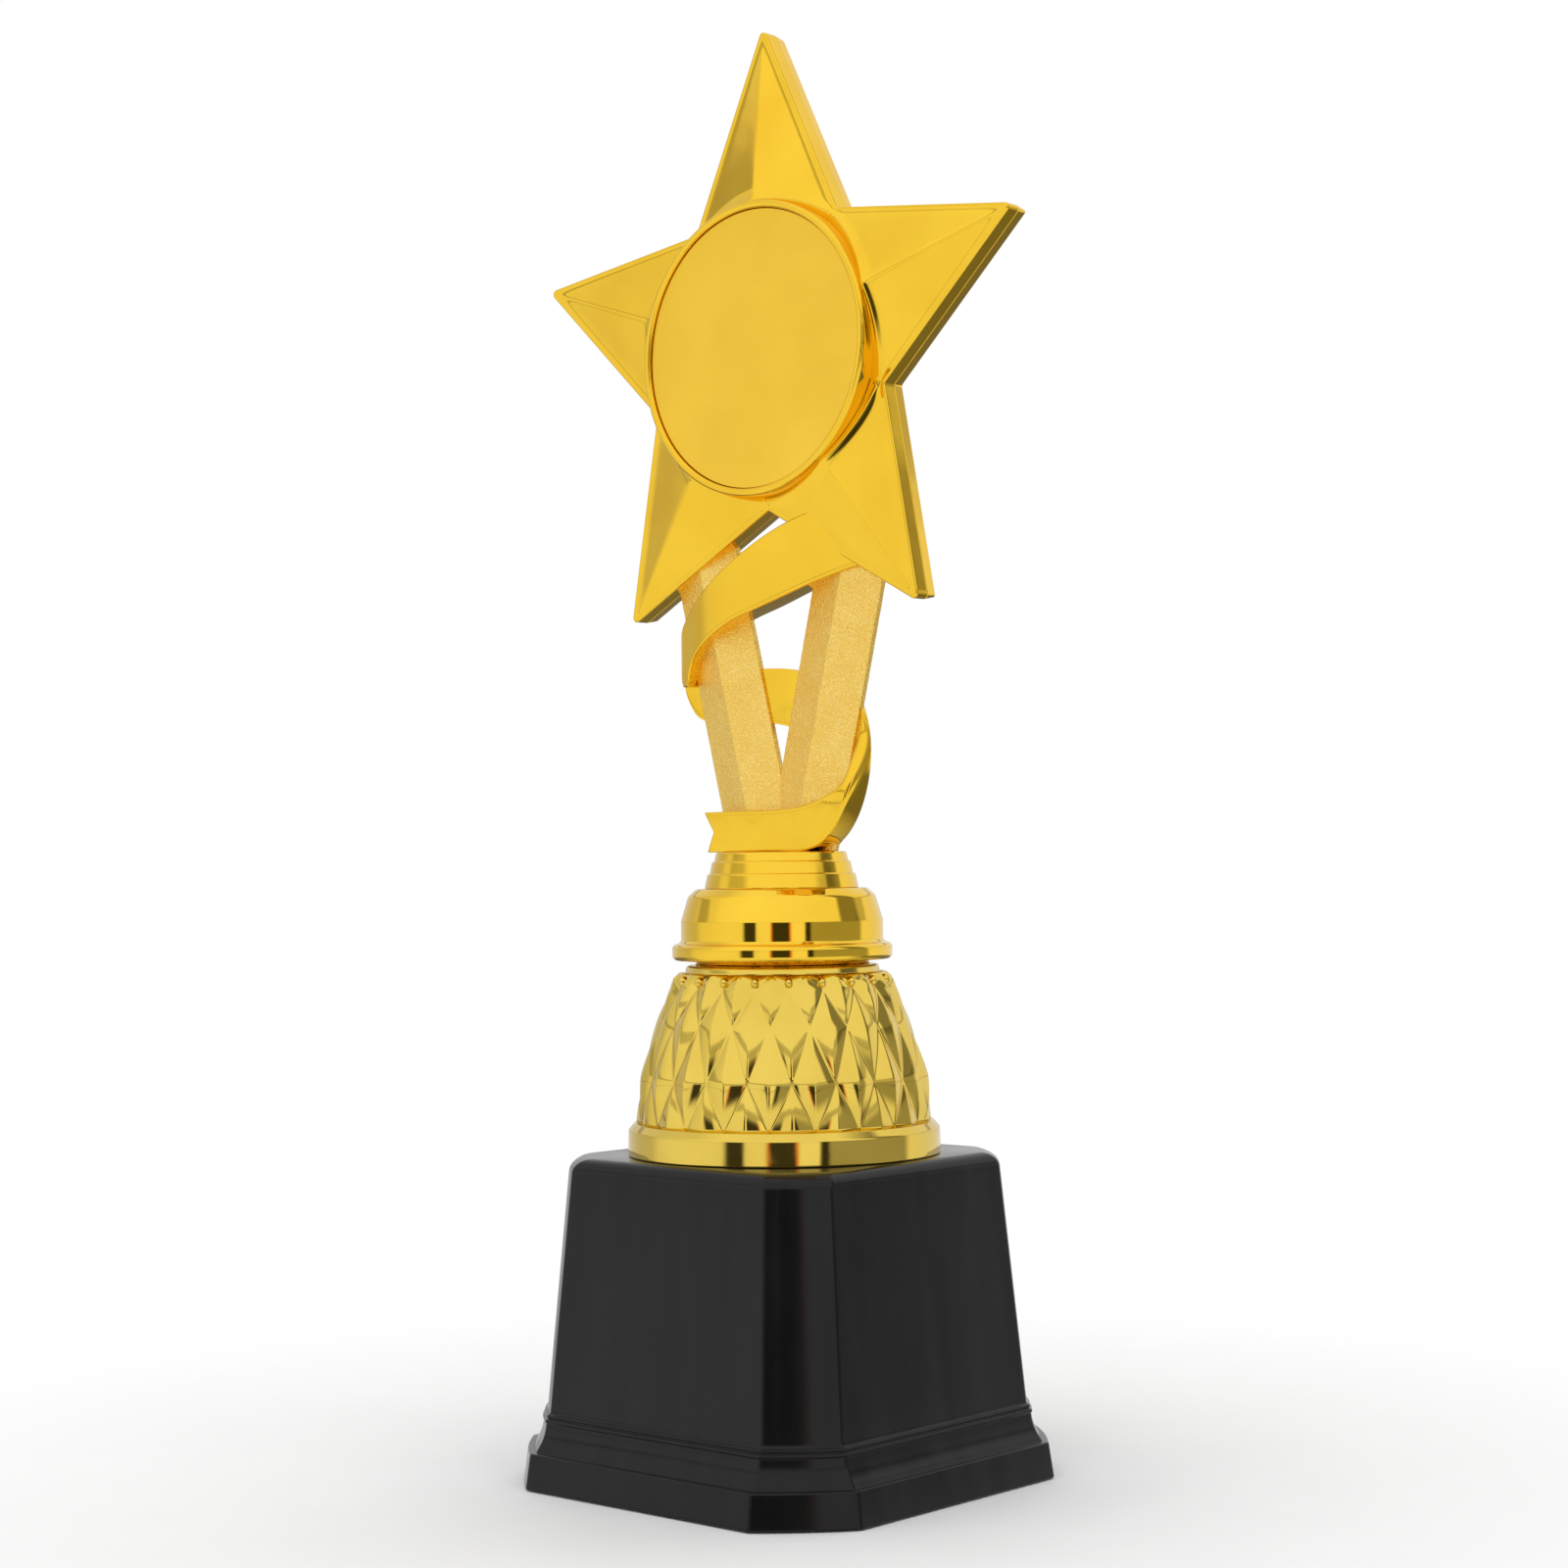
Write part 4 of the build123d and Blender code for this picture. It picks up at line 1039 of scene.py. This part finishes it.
def tail_strand():
    """Strand that comes round the right bar to the front and ends in a swallow tail."""
    low = [(-14.1, 110.75), (-6.0, 110.7), (4.0, 110.7), (9.0, 110.75), (13.6, 112.4), (17.6, 116.9)]
    low += [(19.6, 121.6), (20.5, 126.0), (20.6, 129.8), (20.0, 133.4), (19.2, 135.4)]
    high = [(-14.8, 118.0), (-6.0, 118.1), (4.7, 118.3), (10.4, 119.1), (14.9, 120.9), (17.3, 123.3)]
    high += [(17.6, 126.5), (17.9, 129.5), (18.5, 132.5), (19.1, 135.5)]

    def front(x, z):
        turned = smooth_step(z, 119.5, 133.0)
        outer = 0.9 * max(x - 18.0, 0.0) ** 2 / 6
        return RIBBON_FRONT + (PARTING_Y - 0.7 - RIBBON_FRONT) * turned + outer * (1 - turned)

    return make_strand(
        "tail",
        smooth_curve(low),
        smooth_curve(high),
        front,
        lambda x, z: PARTING_Y + 0.1,
        (lambda share: 0.35 + 1.3 * smooth_step(share, 0.62, 0.8), lambda share: 0.05),
        lambda share, s: 1.9 * max(1 - share * 9, 0) * (1 - abs(2 * s - 1)),
    )


def make_ribbon():
    """Ribbon wound round the V, in three strands that meet at its sides."""
    strands = [upper_strand(), behind_strand(), tail_strand()]
    return finish_piece(join(strands, "ribbon_wrap"), STAR_GOLD, "plated_gold", "ribbon")


make_ribbon()


# ---------------- CAD nodes that stay

CAD_FINISHES = {
    "base_cover": BOARD,
    "base_felt": FELT,
    "ballast_plate": BALLAST,
    "ballast_screws": ZINC,
    "tie_rod": ZINC,
    "rod_washer": ZINC,
    "rod_lock_washer": ZINC,
    "rod_nut": ZINC,
    "foot_insert": BRASS,
    "star_screws": ZINC,
    "disc_tape": TAPE,
}

for node, material in CAD_FINISHES.items():
    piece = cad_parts[node]
    for place in piece.material_slots:
        place.material = material
    if not piece.material_slots:
        piece.data.materials.append(material)


# ---------------- floor, light and camera


FLOOR_RADIUS, FLOOR_FADE, FLOOR_DROP = 0.2, 0.06, 0.0002


def make_floor():
    """Pale round floor that fades out towards its edge."""
    rim = [radians(5 * step) for step in range(72)]
    mesh = bpy.data.meshes.new("floor")
    points = [(FLOOR_RADIUS * cos(a), FLOOR_RADIUS * sin(a), -FLOOR_DROP) for a in rim]
    mesh.from_pydata(points, [], [tuple(range(len(points)))])
    floor = bpy.data.objects.new("floor", mesh)
    scene.collection.objects.link(floor)
    n = Nodes("floor")
    n.paint(n.noise(0.02, detail=3.0), (0.3, (0.96, 0.96, 0.96)), (0.7, (0.98, 0.98, 0.98)))
    n.set(Roughness=0.8, Specular_IOR_Level=0.2)
    reach = n.add("ShaderNodeVectorMath", operation="LENGTH")
    n.tree.links.new(n.place, reach.inputs[0])
    n.feed(Alpha=n.spread(reach, FLOOR_FADE, FLOOR_RADIUS, 1.0, 0.0))
    mesh.materials.append(n.material)


VIEW_AZIMUTH = 41.8
CAMERA_DISTANCE, CAMERA_HEIGHT = 0.532, 0.109
CAMERA_PITCH, CAMERA_ROLL, CAMERA_YAW = 1.49, -0.66, -0.07
LENS, SENSOR_WIDTH = 68.175, 36.0


def make_camera():
    """Camera at the photographed angle, to the right of the star's front and below the star."""
    place, turn = radians(VIEW_AZIMUTH), radians(VIEW_AZIMUTH + CAMERA_YAW)
    pitch, roll = radians(CAMERA_PITCH), radians(CAMERA_ROLL)
    ahead, right = Vector((-sin(turn), cos(turn), 0)), Vector((cos(turn), sin(turn), 0))
    up = Vector((0, 0, 1))
    look, lift = ahead * cos(pitch) + up * sin(pitch), up * cos(pitch) - ahead * sin(pitch)
    right_rolled = right * cos(roll) + lift * sin(roll)
    up_rolled = lift * cos(roll) - right * sin(roll)
    data = bpy.data.cameras.new("camera")
    data.sensor_width = SENSOR_WIDTH
    data.lens = LENS
    data.clip_start, data.clip_end = 0.01, 20
    camera = bpy.data.objects.new("camera", data)
    scene.collection.objects.link(camera)
    axes = Matrix((right_rolled, up_rolled, -look)).transposed().to_4x4()
    position = Vector((CAMERA_DISTANCE * sin(place), -CAMERA_DISTANCE * cos(place), CAMERA_HEIGHT))
    camera.matrix_world = Matrix.Translation(position) @ axes
    scene.camera = camera


# Studio round the object as (bearing from the camera's side in degrees, brightness or colour): soft pale
# walls with dark gaps and warm gap edges near the horizon, and a bright dome over them that is duller at
# the far left and has a tall dark screen at the right. The table below is dark behind the object. LEDGES
# are two narrow darker bands all round, as (height in degrees, brightness).
WARM_EDGE = (0.85, 0.27, 0.08)
WALLS = [
    (-180, 0.80), (-130, 0.64), (-114, 0.66), (-105, 0.90), (-84, 1.0), (-60, 1.02), (-46, 0.97),
    (-42, 0.05), (-31, 0.05), (-28, 1.0), (-14, 1.05), (-12, WARM_EDGE), (-10, 0.05), (7, 0.05),
    (9, WARM_EDGE), (11.5, 1.1), (25, 1.1), (27, 0.04), (31, 0.04), (34, 0.42), (98, 0.40), (104, 1.0),
    (180, 0.80),
]
DOME = [
    (-180, 0.90), (-125, 0.78), (-112, 0.84), (-90, 0.94), (-80, 1.07), (-50, 1.09), (60, 1.06), (72, 1.06),
    (77, 0.28), (100, 0.28), (106, 1.0), (180, 0.90),
]
TABLE = [(-180, 0.2), (-135, 0.2), (-118, 0.5), (-107, 0.6), (-102, 1.0), (75, 1.0), (98, 0.2), (180, 0.2)]
LEDGES = [(1.3, 1), (1.6, 0.55), (2.3, 0.55), (2.6, 1), (16, 1), (17, 0.6), (20, 0.6), (21, 1)]
WALL_TOP, DOME_START, SCREEN_TOP, DOME_TOP = 11, 20, 50, 70
TABLE_EDGE, TABLE_DEEP = -5, -13
ZENITH = 1.05


def make_studio():
    """World light: a bright dome over a ring of pale walls with dark gaps."""
    world = bpy.data.worlds.new("studio")
    scene.world = world
    world.use_nodes = True
    tree = world.node_tree
    tree.nodes.clear()
    new, link = tree.nodes.new, tree.links.new

    def put(value, socket):
        if not isinstance(value, (int, float)):
            link(value, socket)
        else:
            socket.default_value = (value, value, value, 1) if socket.type == "RGBA" else value

    def math(operation, first, second):
        node = new("ShaderNodeMath")
        node.operation = operation
        put(first, node.inputs[0])
        put(second, node.inputs[1])
        return node.outputs[0]

    def ramp(share, stops):
        node = new("ShaderNodeValToRGB")
        elements = node.color_ramp.elements
        while len(elements) < len(stops):
            elements.new(0.5)
        for element, (place, level) in zip(elements, stops):
            element.position = place
            element.color = (*level, 1) if isinstance(level, tuple) else (level, level, level, 1)
        link(share, node.inputs["Fac"])
        return node.outputs["Color"]

    def blend(factor, first, second, kind="MIX"):
        node = new("ShaderNodeMix")
        node.data_type, node.blend_type = "RGBA", kind
        for socket, value in zip(("Factor", "A", "B"), (factor, first, second)):
            put(value, node.inputs[socket])
        return node.outputs["Result"]

    def rising(height, low, high):
        node = new("ShaderNodeMapRange")
        node.interpolation_type = "SMOOTHSTEP"
        node.inputs["From Min"].default_value = sin(radians(low))
        node.inputs["From Max"].default_value = sin(radians(high))
        link(height, node.inputs["Value"])
        return node.outputs["Result"]

    split = new("ShaderNodeSeparateXYZ")
    link(new("ShaderNodeTexCoord").outputs["Generated"], split.inputs[0])
    x, y, height = split.outputs
    turned = math("SUBTRACT", math("ARCTAN2", x, math("MULTIPLY", y, -1.0)), radians(VIEW_AZIMUTH))
    wrapped = math("WRAP", turned, pi)
    wrapped.node.inputs[2].default_value = -pi
    share = math("ADD", math("DIVIDE", wrapped, 2 * pi), 0.5)

    def around(stops):
        return ramp(share, [((bearing + 180) / 360, level) for bearing, level in stops])

    dome = blend(rising(height, SCREEN_TOP, DOME_TOP), around(DOME), ZENITH)
    room = blend(rising(height, WALL_TOP, DOME_START), around(WALLS), dome)
    depth = math("MULTIPLY", height, -1.0)
    room = blend(rising(depth, -TABLE_EDGE, -TABLE_DEEP), room, around(TABLE))
    lifted = math("MULTIPLY", math("ADD", height, 1.0), 0.5)
    ledges = ramp(lifted, [((sin(radians(angle)) + 1) / 2, level) for angle, level in LEDGES])
    room = blend(1.0, room, ledges, "MULTIPLY")
    seen = blend(new("ShaderNodeLightPath").outputs["Is Camera Ray"], room, 1.0)
    light = new("ShaderNodeBackground")
    link(seen, light.inputs["Color"])
    link(light.outputs[0], new("ShaderNodeOutputWorld").inputs["Surface"])


make_floor()
make_camera()
make_studio()
scene.view_settings.view_transform = "Standard"
